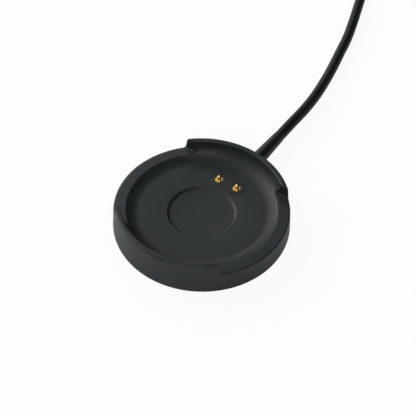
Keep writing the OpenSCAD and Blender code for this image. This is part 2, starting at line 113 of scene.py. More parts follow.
def eased(corners: list[tuple[float, ...]], radii: list[float], steps: int = 4) -> np.ndarray:
    """Open line whose inner corners are replaced by arcs that touch both sides.

    At a corner with unit directions u and v to its neighbours and the angle w between them, an arc of
    radius r starts r / tan(w / 2) from the corner, and its middle is r / sin(w / 2) away along u + v.

    Args:
        corners: The line's points, in a plane or in space.
        radii: Radius at each inner corner; 0 keeps the corner.
        steps: Number of stretches in each arc.

    Returns:
        One row for each point.
    """
    points = np.asarray(corners, float)
    rows = [points[:1]]
    for before, corner, after, radius in zip(points[:-2], points[1:-1], points[2:], radii):
        if radius <= 0:
            rows.append(corner[None])
            continue
        u = (before - corner) / np.linalg.norm(before - corner)
        v = (after - corner) / np.linalg.norm(after - corner)
        half = math.acos(float(np.clip(u @ v, -1, 1))) / 2
        middle = corner + (u + v) / np.linalg.norm(u + v) * radius / math.sin(half)
        first = corner + u * radius / math.tan(half) - middle
        last = corner + v * radius / math.tan(half) - middle
        turn = math.pi - 2 * half
        share = np.linspace(0, 1, steps + 1)[:, None]
        rows.append(middle + (np.sin((1 - share) * turn) * first + np.sin(share * turn) * last) / math.sin(turn))
    rows.append(points[-1:])
    return np.concatenate(rows)


def smooth_step(value: np.ndarray) -> np.ndarray:
    """Rises from 0 to 1 along 3 t^2 - 2 t^3 as the value goes from 0 to 1."""
    t = np.clip(value, 0, 1)
    return t * t * (3 - 2 * t)


def outline(width: np.ndarray, height: np.ndarray, radius: np.ndarray, flat_steps: int, side_steps: int,
            corner_steps: int = 5) -> np.ndarray:
    """Outlines of rounded rectangles about the origin, one for each row of sizes.

    Each outline runs anticlockwise from the right end of the top side: the top side, the corner arcs and the
    other sides, each cut into even stretches.

    Args:
        width: Widths, one for each outline.
        height: Heights.
        radius: Corner radii.
        flat_steps: Stretches on the top and on the bottom side.
        side_steps: Stretches on the left and on the right side.
        corner_steps: Stretches in each corner.

    Returns:
        Points by outline, by place along it and by coordinate.
    """
    w, h, r = (np.atleast_1d(np.asarray(a, float))[:, None] for a in (width, height, radius))
    across = (w / 2 - r) * np.linspace(1, -1, flat_steps, endpoint=False)
    up = (h / 2 - r) * np.linspace(1, -1, side_steps, endpoint=False)
    sides = [(across, h / 2 + 0 * across), (-w / 2 + 0 * up, up), (-across, -h / 2 + 0 * across),
             (w / 2 + 0 * up, -up)]
    signs = [(-1, 1), (-1, -1), (1, -1), (1, 1)]
    parts = []
    for number, ((x, y), (sx, sy)) in enumerate(zip(sides, signs)):
        angle = np.radians(90 * (number + 1) + np.linspace(0, 90, corner_steps, endpoint=False))
        parts += [np.stack([x, y], -1),
                  np.stack([sx * (w / 2 - r) + r * np.cos(angle), sy * (h / 2 - r) + r * np.sin(angle)], -1)]
    return np.concatenate(parts, axis=1)


def lathe(profile: np.ndarray, sides: int, axis: Axis = Axis.UP,
          at: tuple[float, float, float] = (0, 0, 0)) -> np.ndarray:
    """Surface of revolution: a profile point (r, h) at angle a lies r from the axis and h along it.

    Args:
        profile: Radius and height of each ring.
        sides: Points in a ring.
        axis: Direction of the axis.
        at: Where the axis starts.

    Returns:
        Points by ring, by place in the ring and by coordinate.
    """
    angle = np.linspace(0, 2 * math.pi, sides, endpoint=False)
    near, far = profile[:, :1] * np.cos(angle), profile[:, :1] * np.sin(angle)
    along = np.broadcast_to(profile[:, 1:], near.shape)
    layout = (near, far, along) if axis is Axis.UP else (near, along, far)
    return np.stack(layout, axis=-1) + np.array(at, float)


def prism(section: np.ndarray, places: np.ndarray, axis: Axis = Axis.BACK) -> np.ndarray:
    """Sections set one after the other along an axis.

    Args:
        section: Outlines by row, in the plane across the axis; one outline serves for all rows.
        places: Where each row stands on the axis.
        axis: Direction of the axis. Along BACK an outline's second coordinate points up.

    Returns:
        Points by row, by place in the outline and by coordinate.
    """
    rows = np.broadcast_to(section, (len(places), *section.shape[1:]))
    along = np.broadcast_to(np.asarray(places, float)[:, None], rows.shape[:2])
    layout = (rows[..., 0], along, rows[..., 1]) if axis is Axis.BACK else (rows[..., 0], rows[..., 1], along)
    return np.stack(layout, axis=-1)


def smooth_route(points: np.ndarray, spacing: float) -> np.ndarray:
    """Smooth curve through the points, cut into even stretches.

    Between two points the curve is the cubic that has, at each of them, the slope of the parabola through it
    and its neighbours, with the distance along the chords as parameter.

    Args:
        points: Points that the curve goes through.
        spacing: Length of a stretch.

    Returns:
        One row for each point of the curve.
    """
    step = np.linalg.norm(np.diff(points, axis=0), axis=1)
    knot = np.concatenate([[0], np.cumsum(step)])
    slope = np.diff(points, axis=0) / step[:, None]
    inner = (slope[:-1] * step[1:, None] + slope[1:] * step[:-1, None]) / (step[:-1] + step[1:])[:, None]
    slope = np.concatenate([slope[:1], inner, slope[-1:]])
    for _ in range(2):
        at = np.linspace(0, knot[-1], max(int(knot[-1] / spacing), 2) * 4 + 1)
        piece = np.clip(np.searchsorted(knot, at, side="right") - 1, 0, len(step) - 1)
        t, length = ((at - knot[piece]) / step[piece])[:, None], step[piece][:, None]
        fine = ((2 * t**3 - 3 * t**2 + 1) * points[piece] + (t**3 - 2 * t**2 + t) * length * slope[piece]
                + (3 * t**2 - 2 * t**3) * points[piece + 1] + (t**3 - t**2) * length * slope[piece + 1])
    run = np.concatenate([[0], np.cumsum(np.linalg.norm(np.diff(fine, axis=0), axis=1))])
    even = np.linspace(0, run[-1], max(int(run[-1] / spacing), 2) + 1)
    return np.stack([np.interp(even, run, fine[:, axis]) for axis in range(3)], axis=-1)


def tube(path: np.ndarray, radius: np.ndarray | float, sides: int) -> tuple[np.ndarray, np.ndarray]:
    """Round tube along a path, without twist about the vertical.

    With the path's unit direction t, a ring point at angle a is the centre + r cos(a) u + r sin(a) v, where
    u is level and across t, and v = u x t.

    Args:
        path: Centres of the rings.
        radius: Radius of the tube, or of each ring.
        sides: Points in a ring.

    Returns:
        The rings' points, and for each of them its place on the unrolled tube: cos, sin and length along.
    """
    heading = np.gradient(path, axis=0)
    heading /= np.linalg.norm(heading, axis=1, keepdims=True)
    level = np.cross(heading, [0, 0, 1])
    level /= np.linalg.norm(level, axis=1, keepdims=True)
    up = np.cross(level, heading)
    angle = np.linspace(0, 2 * math.pi, sides, endpoint=False)
    r = np.broadcast_to(np.asarray(radius, float), len(path))[:, None]
    near, far = r * np.cos(angle), r * np.sin(angle)
    grid = path[:, None] + near[..., None] * level[:, None] + far[..., None] * up[:, None]
    run = np.concatenate([[0], np.cumsum(np.linalg.norm(np.diff(path, axis=0), axis=1))])
    return grid, np.stack([near, far, np.broadcast_to(run[:, None], near.shape)], axis=-1)


def skin(name: str, grid: np.ndarray, loop: bool = False, sharp: float = 35.0,
         sweep: np.ndarray | None = None) -> bpy.types.Object:
    """Closed mesh over rings of points, with its faces outwards.

    Quads join each ring to the next. Rings that don't close into a loop get a fan of triangles about the
    middle of the first and of the last one. The sum of the faces' signed volumes tells if they point inwards.

    Args:
        name: Name of the piece.
        grid: Points by ring, by place in the ring and by coordinate, in millimetres.
        loop: Whether the last ring joins the first.
        sharp: Angle between faces, in degrees, above which an edge looks sharp.
        sweep: Place of each point on an unrolled tube, kept as the attribute "sweep".

    Returns:
        The new object, linked to the scene.
    """
    rows, sides = grid.shape[:2]
    index = np.arange(rows * sides).reshape(rows, sides)
    low = index if loop else index[:-1]
    high = np.roll(index, -1, axis=0) if loop else index[1:]
    quads = np.stack([low, np.roll(low, -1, 1), np.roll(high, -1, 1), high], -1).reshape(-1, 4)
    points, fans = grid.reshape(-1, 3), np.zeros((0, 3), int)
    if not loop:
        points = np.concatenate([points, grid[[0, -1]].mean(axis=1)])
        first, last = index[0], index[-1]
        fans = np.concatenate([
            np.stack([np.roll(first, -1), first, np.full(sides, rows * sides)], -1),
            np.stack([last, np.roll(last, -1), np.full(sides, rows * sides + 1)], -1)])
    triangles = np.concatenate([quads[:, [0, 1, 2]], quads[:, [0, 2, 3]], fans])
    a, b, c = (points[triangles[:, k]] for k in range(3))
    inwards = float(np.einsum("ij,ij->i", a, np.cross(b, c)).sum()) < 0
    mesh = bpy.data.meshes.new(name)
    mesh.from_pydata((points * MM).tolist(), [], quads.tolist() + fans.tolist())
    if inwards:
        mesh.flip_normals()
    if sweep is not None:
        padded = np.zeros((len(points), 3), np.float32)
        padded[: rows * sides] = sweep.reshape(-1, 3)
        padded[rows * sides:] = [[0, 0, sweep[0, 0, 2]], [0, 0, sweep[-1, 0, 2]]][: len(points) - rows * sides]
        mesh.attributes.new("sweep", "FLOAT_VECTOR", "POINT").data.foreach_set("vector", padded.ravel())
    piece = bpy.data.objects.new(name, mesh)
    bpy.context.scene.collection.objects.link(piece)
    shade(piece, sharp)
    return piece


def shade(piece: bpy.types.Object, sharp: float) -> None:
    """Smooths a piece's shading, apart from edges above the angle, in degrees."""
    piece.data.shade_smooth()
    piece.data.set_sharp_from_angle(angle=math.radians(sharp))


def joined(pieces: list[bpy.types.Object]) -> bpy.types.Object:
    """Puts the meshes of several objects into the first one.

    Args:
        pieces: Objects whose meshes don't touch, or may lie in each other.

    Returns:
        The first object.
    """
    work = bmesh.new()
    for piece in pieces:
        work.from_mesh(piece.data)
    work.to_mesh(pieces[0].data)
    work.free()
    for piece in pieces[1:]:
        bpy.data.objects.remove(piece)
    return pieces[0]


def carved(piece: bpy.types.Object, tool: bpy.types.Object, operation: str = "DIFFERENCE",
           sharp: float = 35.0) -> bpy.types.Object:
    """Cuts a piece with a tool, or joins the two, by an exact boolean, and removes the tool.

    Args:
        piece: The piece that changes.
        tool: Closed mesh of what is cut away or added.
        operation: DIFFERENCE or UNION.
        sharp: Angle between faces, in degrees, above which an edge looks sharp.

    Returns:
        The piece.
    """
    modifier = piece.modifiers.new("carve", "BOOLEAN")
    modifier.operation = operation
    modifier.solver = "EXACT"
    modifier.object = tool
    graph = bpy.context.evaluated_depsgraph_get()
    mesh = bpy.data.meshes.new_from_object(piece.evaluated_get(graph))
    piece.modifiers.clear()
    piece.data = mesh
    bpy.data.objects.remove(tool)
    shade(piece, sharp)
    return piece


def refined(node: str, edge: float, segments: int = 2) -> bpy.types.Object:
    """New piece in the shape of a CAD node, with its edges rounded by a bevel.

    Args:
        node: Name of the node.
        edge: Width of the bevel, in millimetres.
        segments: Faces across the bevel.

    Returns:
        The new object.
    """
    work = bmesh.new()
    work.from_mesh(frame["nodes"][node].data)
    bmesh.ops.remove_doubles(work, verts=work.verts, dist=1e-7)
    bmesh.ops.dissolve_limit(work, angle_limit=math.radians(0.5), verts=work.verts, edges=work.edges)
    mesh = bpy.data.meshes.new(f"{node}_form")
    work.to_mesh(mesh)
    work.free()
    piece = bpy.data.objects.new(f"{node}_form", mesh)
    bpy.context.scene.collection.objects.link(piece)
    shade(piece, 30)
    bevel = piece.modifiers.new("edges", "BEVEL")
    bevel.width = edge * MM
    bevel.segments = segments
    bevel.limit_method = "ANGLE"
    bevel.angle_limit = math.radians(30)
    bevel.harden_normals = True
    return piece


def mark(piece: bpy.types.Object, name: str, values: np.ndarray) -> None:
    """Keeps one number for each point of a piece, as an attribute that its finish reads."""
    piece.data.attributes.new(name, "FLOAT", "POINT").data.foreach_set("value", values.astype(np.float32))


def points_of(piece: bpy.types.Object) -> np.ndarray:
    """Points of a piece's mesh, in millimetres, one row each."""
    flat = np.empty(len(piece.data.vertices) * 3, np.float32)
    piece.data.vertices.foreach_get("co", flat)
    return flat.reshape(-1, 3) / MM


def place(piece: bpy.types.Object, finish: "Finish", slot: str, *nodes: str) -> bpy.types.Object:
    """Dresses a piece, attaches it to the body of the CAD nodes that it stands for, and hides those nodes.

    Args:
        piece: The piece.
        finish: Its finish.
        slot: The record's material slot of the finish; not used.
        *nodes: CAD nodes that the piece replaces, all on one body.

    Returns:
        The piece.
    """
    piece.data.materials.clear()
    piece.data.materials.append(finish.material())
    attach(piece, frame["nodes"][nodes[0]]["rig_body"])
    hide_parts(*nodes)
    LOG.info("%s stands for %s: %d points", piece.name, ", ".join(nodes), len(piece.data.vertices))
    return piece


class Sheet:
    """A node tree, with short calls that add its nodes."""

    def __init__(self, tree: bpy.types.NodeTree) -> None:
        """Takes the tree that the nodes go into."""
        self.tree = tree

    def add(self, kind: str, inputs: dict[str | int, Value] | None = None,
            **settings: object) -> bpy.types.Node:
        """Adds a node.

        Args:
            kind: Blender's name of the node's type.
            inputs: Value of, or socket that feeds, each named or numbered input.
            **settings: Properties of the node.

        Returns:
            The node.
        """
        node = self.tree.nodes.new(kind)
        for key, value in settings.items():
            setattr(node, key, value)
        for key, value in (inputs or {}).items():
            if isinstance(value, bpy.types.NodeSocket):
                self.tree.links.new(value, node.inputs[key])
            else:
                node.inputs[key].default_value = value
        return node

    def sum(self, operation: str, first: Value, second: Value = 0.0, third: Value = 0.0,
            clamp: bool = False) -> bpy.types.NodeSocket:
        """Adds a Math node.

        Args:
            operation: Blender's name of what it works out.
            first: Its first value, or the socket that feeds it.
            second: Its second.
            third: Its third.
            clamp: Whether the result is kept from 0 to 1.

        Returns:
            The result's socket.
        """
        values = {0: first, 1: second, 2: third}
        return self.add("ShaderNodeMath", values, operation=operation, use_clamp=clamp).outputs[0]

    def noise(self, vector: bpy.types.NodeSocket, scale: Value, detail: float = 2.0) -> bpy.types.NodeSocket:
        """Adds a noise texture.

        Args:
            vector: What it is laid out on, in metres.
            scale: Features per metre.
            detail: Number of finer layers.

        Returns:
            The noise's socket.
        """
        inputs = {"Vector": vector, "Scale": scale, "Detail": detail}
        return self.add("ShaderNodeTexNoise", inputs).outputs["Fac"]

    def ramp(self, value: bpy.types.NodeSocket, low: float, high: float, start: float = 0.0,
             end: float = 1.0) -> bpy.types.NodeSocket:
        """Maps one stretch of values onto another, and clamps the result.

        Args:
            value: Socket of the value.
            low: Where the first stretch starts.
            high: Where it ends.
            start: Result at low.
            end: Result at high.

        Returns:
            The result's socket.
        """
        inputs = {"Value": value, "From Min": low, "From Max": high, "To Min": start, "To Max": end}
        return self.add("ShaderNodeMapRange", inputs).outputs["Result"]

    def mix(self, share: Value, first: Colour | bpy.types.NodeSocket,
            second: Colour | bpy.types.NodeSocket) -> bpy.types.NodeSocket:
        """Mixes two colours.

        Args:
            share: Share of the second colour.
            first: The first colour, or its socket.
            second: The second colour, or its socket.

        Returns:
            The mixed colour's socket.
        """
        pair = [c if isinstance(c, bpy.types.NodeSocket) else (*c, 1.0) for c in (first, second)]
        return self.add("ShaderNodeMix", {0: share, 6: pair[0], 7: pair[1]}, data_type="RGBA").outputs[2]

    def bump(self, height: bpy.types.NodeSocket, depth: float) -> bpy.types.NodeSocket:
        """Adds a Bump node on a height whose whole range is a depth in millimetres."""
        return self.add("ShaderNodeBump", {"Height": height, "Distance": depth * MM, "Strength": 1.0}).outputs[0]

    def group(self, shared: "Effect", inputs: dict[str, Value]) -> bpy.types.bpy_prop_collection:
        """Adds a shared group with this material's own values, and gives its outputs."""
        return self.add("ShaderNodeGroup", inputs, node_tree=shared.tree()).outputs

    def feed(self, shader: bpy.types.Node, sockets: dict[str, bpy.types.NodeSocket]) -> None:
        """Joins sockets to a shader's named inputs."""
        for name, socket in sockets.items():
            self.tree.links.new(socket, shader.inputs[name])


@dataclass(frozen=True)
class Effect:
    """Shader node group that several materials share: its sockets, and the function that adds its nodes."""

    name: str
    inputs: dict[str, str]
    outputs: list[str]
    fill: Callable[[Sheet, Sockets], Sockets]

    def tree(self) -> bpy.types.NodeTree:
        """Gives the group, made the first time.

        Returns:
            The group.
        """
        found = bpy.data.node_groups.get(self.name)
        if found:
            return found
        group = bpy.data.node_groups.new(self.name, "ShaderNodeTree")
        for key, kind in self.inputs.items():
            group.interface.new_socket(name=key, in_out="INPUT", socket_type=f"NodeSocket{kind}")
        for key in self.outputs:
            group.interface.new_socket(name=key, in_out="OUTPUT", socket_type="NodeSocketFloat")
        sheet = Sheet(group)
        entry = sheet.add("NodeGroupInput")
        made = self.fill(sheet, {key: entry.outputs[key] for key in self.inputs})
        sheet.add("NodeGroupOutput", made)
        return group


def fill_grain(sheet: Sheet, given: Sockets) -> Sockets:
    """Height of a moulded surface's grain, and cloudy patches that differ a little in tone.

    Args:
        sheet: The group's nodes.
        given: Vector in metres, and the grain's and the patches' size in millimetres.

    Returns:
        Height and Patches.
    """
    fine = sheet.sum("DIVIDE", 1 / MM, given["Grain"])
    wide = sheet.sum("DIVIDE", 1 / MM, given["Patch"])
    return {"Height": sheet.noise(given["Vector"], fine, 3.0),
            "Patches": sheet.ramp(sheet.noise(given["Vector"], wide, 3.0), 0.32, 0.68)}


def fill_wear_and_sheen(sheet: Sheet, given: Sockets) -> Sockets:
    """Where edges are rubbed by hands and get a painted sheen: the edge mark, broken up by noise.

    Args:
        sheet: The group's nodes.
        given: Vector in metres, and the edge mark.

    Returns:
        Mask.
    """
    uneven = sheet.ramp(sheet.noise(given["Vector"], 0.6 / MM, 4.0), 0.3, 0.7, 0.35, 1.0)
    return {"Mask": sheet.sum("MULTIPLY", given["Edge"], uneven, clamp=True)}


def fill_dust(sheet: Sheet, given: Sockets) -> Sockets:
    """Fine specks that lie on the faces that look up.

    Args:
        sheet: The group's nodes.
        given: Vector in metres, the surface's normal and the amount.

    Returns:
        Mask.
    """
    upward = sheet.add("ShaderNodeSeparateXYZ", {0: given["Normal"]})
    specks = sheet.ramp(sheet.noise(given["Vector"], 2.6 / MM, 2.0), 0.62, 0.76)
    share = sheet.sum("MULTIPLY", specks, sheet.ramp(upward.outputs["Z"], 0.3, 0.95))
    return {"Mask": sheet.sum("MULTIPLY", share, given["Amount"], clamp=True)}


def fill_lines(sheet: Sheet, given: Sockets) -> Sockets:
    """Fine lines that a die or a cutter leaves on metal, and the wider marks of handling.

    Args:
        sheet: The group's nodes.
        given: Vector in metres, and its stretch along each axis.

    Returns:
        Lines and Marks.
    """
    stretched = sheet.add("ShaderNodeVectorMath", {0: given["Vector"], 1: given["Stretch"]},
                          operation="MULTIPLY").outputs[0]
    return {"Lines": sheet.ramp(sheet.noise(stretched, 1 / MM, 3.0), 0.3, 0.7),
            "Marks": sheet.ramp(sheet.noise(given["Vector"], 0.5 / MM, 4.0), 0.4, 0.7)}


GRAIN = Effect("moulded_grain", {"Vector": "Vector", "Grain": "Float", "Patch": "Float"},
               ["Height", "Patches"], fill_grain)
WEAR_AND_SHEEN = Effect("handled_edges_and_sheen", {"Vector": "Vector", "Edge": "Float"}, ["Mask"], fill_wear_and_sheen)
DUST = Effect("settled_dust", {"Vector": "Vector", "Normal": "Vector", "Amount": "Float"}, ["Mask"],
              fill_dust)
LINES = Effect("drawn_lines", {"Vector": "Vector", "Stretch": "Vector"}, ["Lines", "Marks"], fill_lines)


@dataclass(frozen=True)
class Finish:
    """What every finish has: a name, a colour and a roughness."""

    name: str
    colour: Colour
    roughness: float

    def material(self) -> bpy.types.Material:
        """Gives the finish's material, made once."""
        found = bpy.data.materials.get(self.name)
        if found:
            return found
        made = bpy.data.materials.new(self.name)
        made.use_nodes = True
        shader = made.node_tree.nodes["Principled BSDF"]
        made.diffuse_color = (*self.colour, 1.0)
        self.dress(Sheet(made.node_tree), shader)
        return made

    def dress(self, sheet: Sheet, shader: bpy.types.Node) -> None:
        """Adds the nodes of the finish and joins them to the shader."""
        raise NotImplementedError


@dataclass(frozen=True)
class Moulding(Finish):
    """Moulded plastic or rubber: grain, faint patches and, where it is handled, polished edges lightened by wear and a
    painted sheen, and dust.
    """

    light: Colour = (0.06, 0.06, 0.06)
    spread: float = 0.04
    grain: float = 0.16
    depth: float = 0.004
    patch: float = 5.0
    # Roughness taken off rubbed edges; above 0 it also lightens them with wear and a painted sheen.
    polish: float = 0.0
    dust: float = 0.0
    specular: float = 0.5
    follow: Follow = Follow.OBJECT

    def pattern(self, sheet: Sheet) -> bpy.types.NodeSocket:
        """Adds the vector that the pattern is laid out on: the object's own metres, or the unrolled tube."""
        if self.follow is Follow.OBJECT:
            return sheet.add("ShaderNodeTexCoord").outputs["Object"]
        vector = sheet.add("ShaderNodeAttribute", attribute_name="sweep").outputs["Vector"]
        return sheet.add("ShaderNodeVectorMath", {0: vector, "Scale": MM}, operation="SCALE").outputs[0]

    def dress(self, sheet: Sheet, shader: bpy.types.Node) -> None:
        """Lays the grain, the patches, the polished edges with their wear and painted sheen, and the dust over the
        plain colour.

        Args:
            sheet: The material's nodes.
            shader: The material's shader.
        """
        vector = self.pattern(sheet)
        grain = sheet.group(GRAIN, {"Vector": vector, "Grain": self.grain, "Patch": self.patch})
        patches = grain["Patches"]
        tone = sheet.mix(sheet.sum("MULTIPLY", patches, 0.35), self.colour, self.light)
        rough = sheet.ramp(patches, 0, 1, self.roughness - self.spread, self.roughness + self.spread)
        if self.polish:
            edge = sheet.add("ShaderNodeAttribute", attribute_name="edge").outputs["Fac"]
            edge_wear_and_sheen = sheet.group(WEAR_AND_SHEEN, {"Vector": vector, "Edge": edge})["Mask"]
            # Rubbed edges turn lighter in tone: partly wear, partly a painted sheen along the edges.
            tone = sheet.mix(sheet.sum("MULTIPLY", edge_wear_and_sheen, 0.5), tone, self.light)
            rough = sheet.sum("SUBTRACT", rough, sheet.sum("MULTIPLY", edge_wear_and_sheen, self.polish), clamp=True)
        if self.dust:
            facing = sheet.add("ShaderNodeNewGeometry").outputs["Normal"]
            specks = sheet.group(DUST, {"Vector": vector, "Normal": facing, "Amount": self.dust})["Mask"]
            tone = sheet.mix(specks, tone, (0.24, 0.23, 0.21))
        normal = sheet.bump(grain["Height"], self.depth)
        shader.inputs["Specular IOR Level"].default_value = self.specular
        sheet.feed(shader, {"Base Color": tone, "Roughness": rough, "Normal": normal})


@dataclass(frozen=True)
class Metal(Finish):
    """Plated, drawn or turned metal: fine lines along the way it was worked, and wider marks of handling."""

    stretch: tuple[float, float, float] = (8.0, 0.4, 8.0)
    dull: Colour = (0.3, 0.3, 0.3)
    spread: float = 0.1
    depth: float = 0.001

    def dress(self, sheet: Sheet, shader: bpy.types.Node) -> None:
        """Lays the lines and the marks over the plain metal."""
        vector = sheet.add("ShaderNodeTexCoord").outputs["Object"]
        worked = sheet.group(LINES, {"Vector": vector, "Stretch": self.stretch})
        tone = sheet.mix(sheet.sum("MULTIPLY", worked["Marks"], 0.3), self.colour, self.dull)
        rough = sheet.ramp(worked["Lines"], 0, 1, self.roughness - self.spread / 2,
                           self.roughness + self.spread / 2)
        rough = sheet.sum("MULTIPLY_ADD", worked["Marks"], self.spread, rough, clamp=True)
        shader.inputs["Metallic"].default_value = 1.0
        sheet.feed(shader, {"Base Color": tone, "Roughness": rough,
                            "Normal": sheet.bump(worked["Lines"], self.depth)})


@dataclass(frozen=True)
class BoardFinish(Finish):
    """Solder mask over a circuit board: a copper track to each contact, tinned rings and pads, and its weave."""

    track: Colour = (0.03, 0.17, 0.07)
    tin: Colour = (0.62, 0.6, 0.56)
    contact: tuple[float, float] = (2.5, 10.8)
    wire_pad: tuple[float, float] = (1.1, 13.3)
    track_w: float = 0.5
    ring_r: float = 1.5
    pad_r: float = 0.5

    def near(self, sheet: Sheet, x: object, y: object, spot: tuple[float, float], reach: float) -> object:
        """Mask of a round spot on the board: 1 within its reach, 0 outside."""
        across = sheet.sum("SUBTRACT", x, spot[0] * MM)
        along = sheet.sum("SUBTRACT", y, spot[1] * MM)
        square = sheet.sum("ADD", sheet.sum("MULTIPLY", across, across), sheet.sum("MULTIPLY", along, along))
        return sheet.ramp(sheet.sum("SQRT", square), reach * MM, (reach - 0.04) * MM)

    def dress(self, sheet: Sheet, shader: bpy.types.Node) -> None:
        """Lays the tracks, the tinned spots and the weave's fine grain, the same on both halves."""
        vector = sheet.add("ShaderNodeTexCoord").outputs["Object"]
        place_at = sheet.add("ShaderNodeSeparateXYZ", {0: vector}).outputs
        x, y = sheet.sum("ABSOLUTE", place_at["X"]), place_at["Y"]
        slant = (self.contact[0] - self.wire_pad[0]) / (self.contact[1] - self.wire_pad[1])
        middle = sheet.sum("MULTIPLY_ADD", y, slant, (self.wire_pad[0] - slant * self.wire_pad[1]) * MM)
        off = sheet.sum("ABSOLUTE", sheet.sum("SUBTRACT", x, middle))
        beyond = sheet.ramp(y, (self.contact[1] - 0.02) * MM, self.contact[1] * MM)
        tracks = sheet.sum("MULTIPLY", sheet.ramp(off, self.track_w * MM, (self.track_w - 0.04) * MM), beyond)
        ground = sheet.ramp(y, 9.0 * MM, 8.96 * MM)
        tracks = sheet.sum("MAXIMUM", tracks, ground)
        tinned = sheet.sum("MAXIMUM", self.near(sheet, x, y, self.contact, self.ring_r),
                           self.near(sheet, x, y, self.wire_pad, self.pad_r))
        weave = sheet.group(GRAIN, {"Vector": vector, "Grain": 0.12, "Patch": 2.0})
        tone = sheet.mix(tinned, sheet.mix(tracks, self.colour, self.track), self.tin)
        rough = sheet.ramp(weave["Patches"], 0, 1, self.roughness - 0.05, self.roughness + 0.05)
        height = sheet.sum("MULTIPLY_ADD", weave["Height"], 0.15, sheet.sum("MAXIMUM", tracks, tinned))
        sheet.feed(shader, {"Base Color": tone, "Roughness": rough, "Metallic": tinned,
                            "Normal": sheet.bump(height, 0.03)})


HOUSING = Moulding("matt_housing", (0.0112, 0.0158, 0.0158), 0.48, light=(0.019, 0.0255, 0.0255), polish=0.14,
                   dust=0.05, specular=0.33)
COVER = Moulding("matt_cover", (0.015, 0.017, 0.0172), 0.55, light=(0.024, 0.026, 0.0262))
PAD = Moulding("rubber_pad", (0.012, 0.0125, 0.013), 0.8, light=(0.02, 0.021, 0.021), grain=0.3, depth=0.01,
               specular=0.3)
BLOCK = Moulding("contact_block_black", (0.006, 0.0065, 0.007), 0.28, light=(0.011, 0.0115, 0.012), depth=0.002)
RELIEF = Moulding("relief_rubber", (0.005, 0.006, 0.0065), 0.42, light=(0.009, 0.0105, 0.011), depth=0.003,
                  dust=0.04, specular=0.3)
JACKET = Moulding("cable_jacket_satin", (0.005, 0.006, 0.0066), 0.44, light=(0.009, 0.0105, 0.0112),
                  grain=0.3, depth=0.003, patch=7.0, dust=0.04, specular=0.18, follow=Follow.SWEEP)
TIE = Moulding("tie_plastic", (0.013, 0.0135, 0.014), 0.4, light=(0.022, 0.0225, 0.023), depth=0.002, dust=0.1)
GRIP = Moulding("grip_plastic", (0.012, 0.0142, 0.0146), 0.5, light=(0.022, 0.0245, 0.025), grain=0.25,
                depth=0.008, polish=0.14, dust=0.06, specular=0.4)
CORE = Moulding("plug_core_white", (0.72, 0.71, 0.67), 0.5, light=(0.8, 0.79, 0.76), depth=0.002)
TONGUE = Moulding("plug_tongue_white", (0.78, 0.77, 0.73), 0.42, light=(0.84, 0.83, 0.8), depth=0.002)
FUSE = Moulding("fuse_green", (0.05, 0.2, 0.07), 0.35, light=(0.07, 0.26, 0.1), depth=0.002)
DIODE = Moulding("diode_black", (0.012, 0.012, 0.013), 0.5, light=(0.02, 0.02, 0.021), depth=0.003)
RED_WIRE = Moulding("power_wire_red", (0.45, 0.02, 0.015), 0.4, light=(0.5, 0.04, 0.03), follow=Follow.SWEEP)
BLACK_WIRE = Moulding("ground_wire_black", (0.012, 0.012, 0.013), 0.4, light=(0.02, 0.02, 0.021),
                      follow=Follow.SWEEP)
GOLD = Metal("plated_gold", (0.86, 0.58, 0.22), 0.2, dull=(0.62, 0.42, 0.18))
BRASS = Metal("barrel_brass", (0.72, 0.5, 0.2), 0.28, dull=(0.45, 0.31, 0.14))
NICKEL = Metal("magnet_nickel", (0.66, 0.65, 0.62), 0.22, stretch=(2.0, 2.0, 0.5), dull=(0.45, 0.44, 0.42),
               depth=0.0003)
SPRING = Metal("spring_steel", (0.6, 0.6, 0.6), 0.25)
SCREW = Metal("screw_zinc", (0.42, 0.42, 0.43), 0.34, dull=(0.28, 0.28, 0.29))
SHELL = Metal("shell_sheet", (0.67, 0.67, 0.66), 0.24, stretch=(10.0, 0.5, 10.0), dull=(0.56, 0.56, 0.55),
              spread=0.05, depth=0.0001)
BOARD = BoardFinish("solder_mask", (0.01, 0.075, 0.03), 0.35)


@dataclass
class PhotoCamera:
    """The camera that was fitted to the photograph, about the dock's centre."""

    elevation: float = 47.44
    roll: float = 1.52
    distance: float = 283.24
    aside: tuple[float, float] = (1.4, 5.7)
    turn: float = 33.48
    lens: float = 103.846
    sensor: float = 36.0

    def build(self) -> None:
        """Makes the camera: it looks down by the elevation, rolled about its axis, and the lot is turned."""
        e, r = math.radians(self.elevation), math.radians(self.roll)
        forward = Vector((0, math.cos(e), -math.sin(e)))
        level, up = Vector((1, 0, 0)), Vector((0, math.sin(e), math.cos(e)))
        right = math.cos(r) * level + math.sin(r) * up
        upright = math.cos(r) * up - math.sin(r) * level
        place_at = (Vector((*self.aside, 0)) - forward * self.distance) * MM
        axes = Matrix((right, upright, -forward)).transposed().to_4x4()
        data = bpy.data.cameras.new("photo_camera")
        data.lens, data.sensor_width = self.lens, self.sensor
        data.clip_start, data.clip_end = 0.01, 10.0
        camera = bpy.data.objects.new("photo_camera", data)
        bpy.context.scene.collection.objects.link(camera)
        camera.matrix_world = Matrix.Rotation(math.radians(self.turn), 4, "Z") @ (
            Matrix.Translation(place_at) @ axes)
        bpy.context.scene.camera = camera


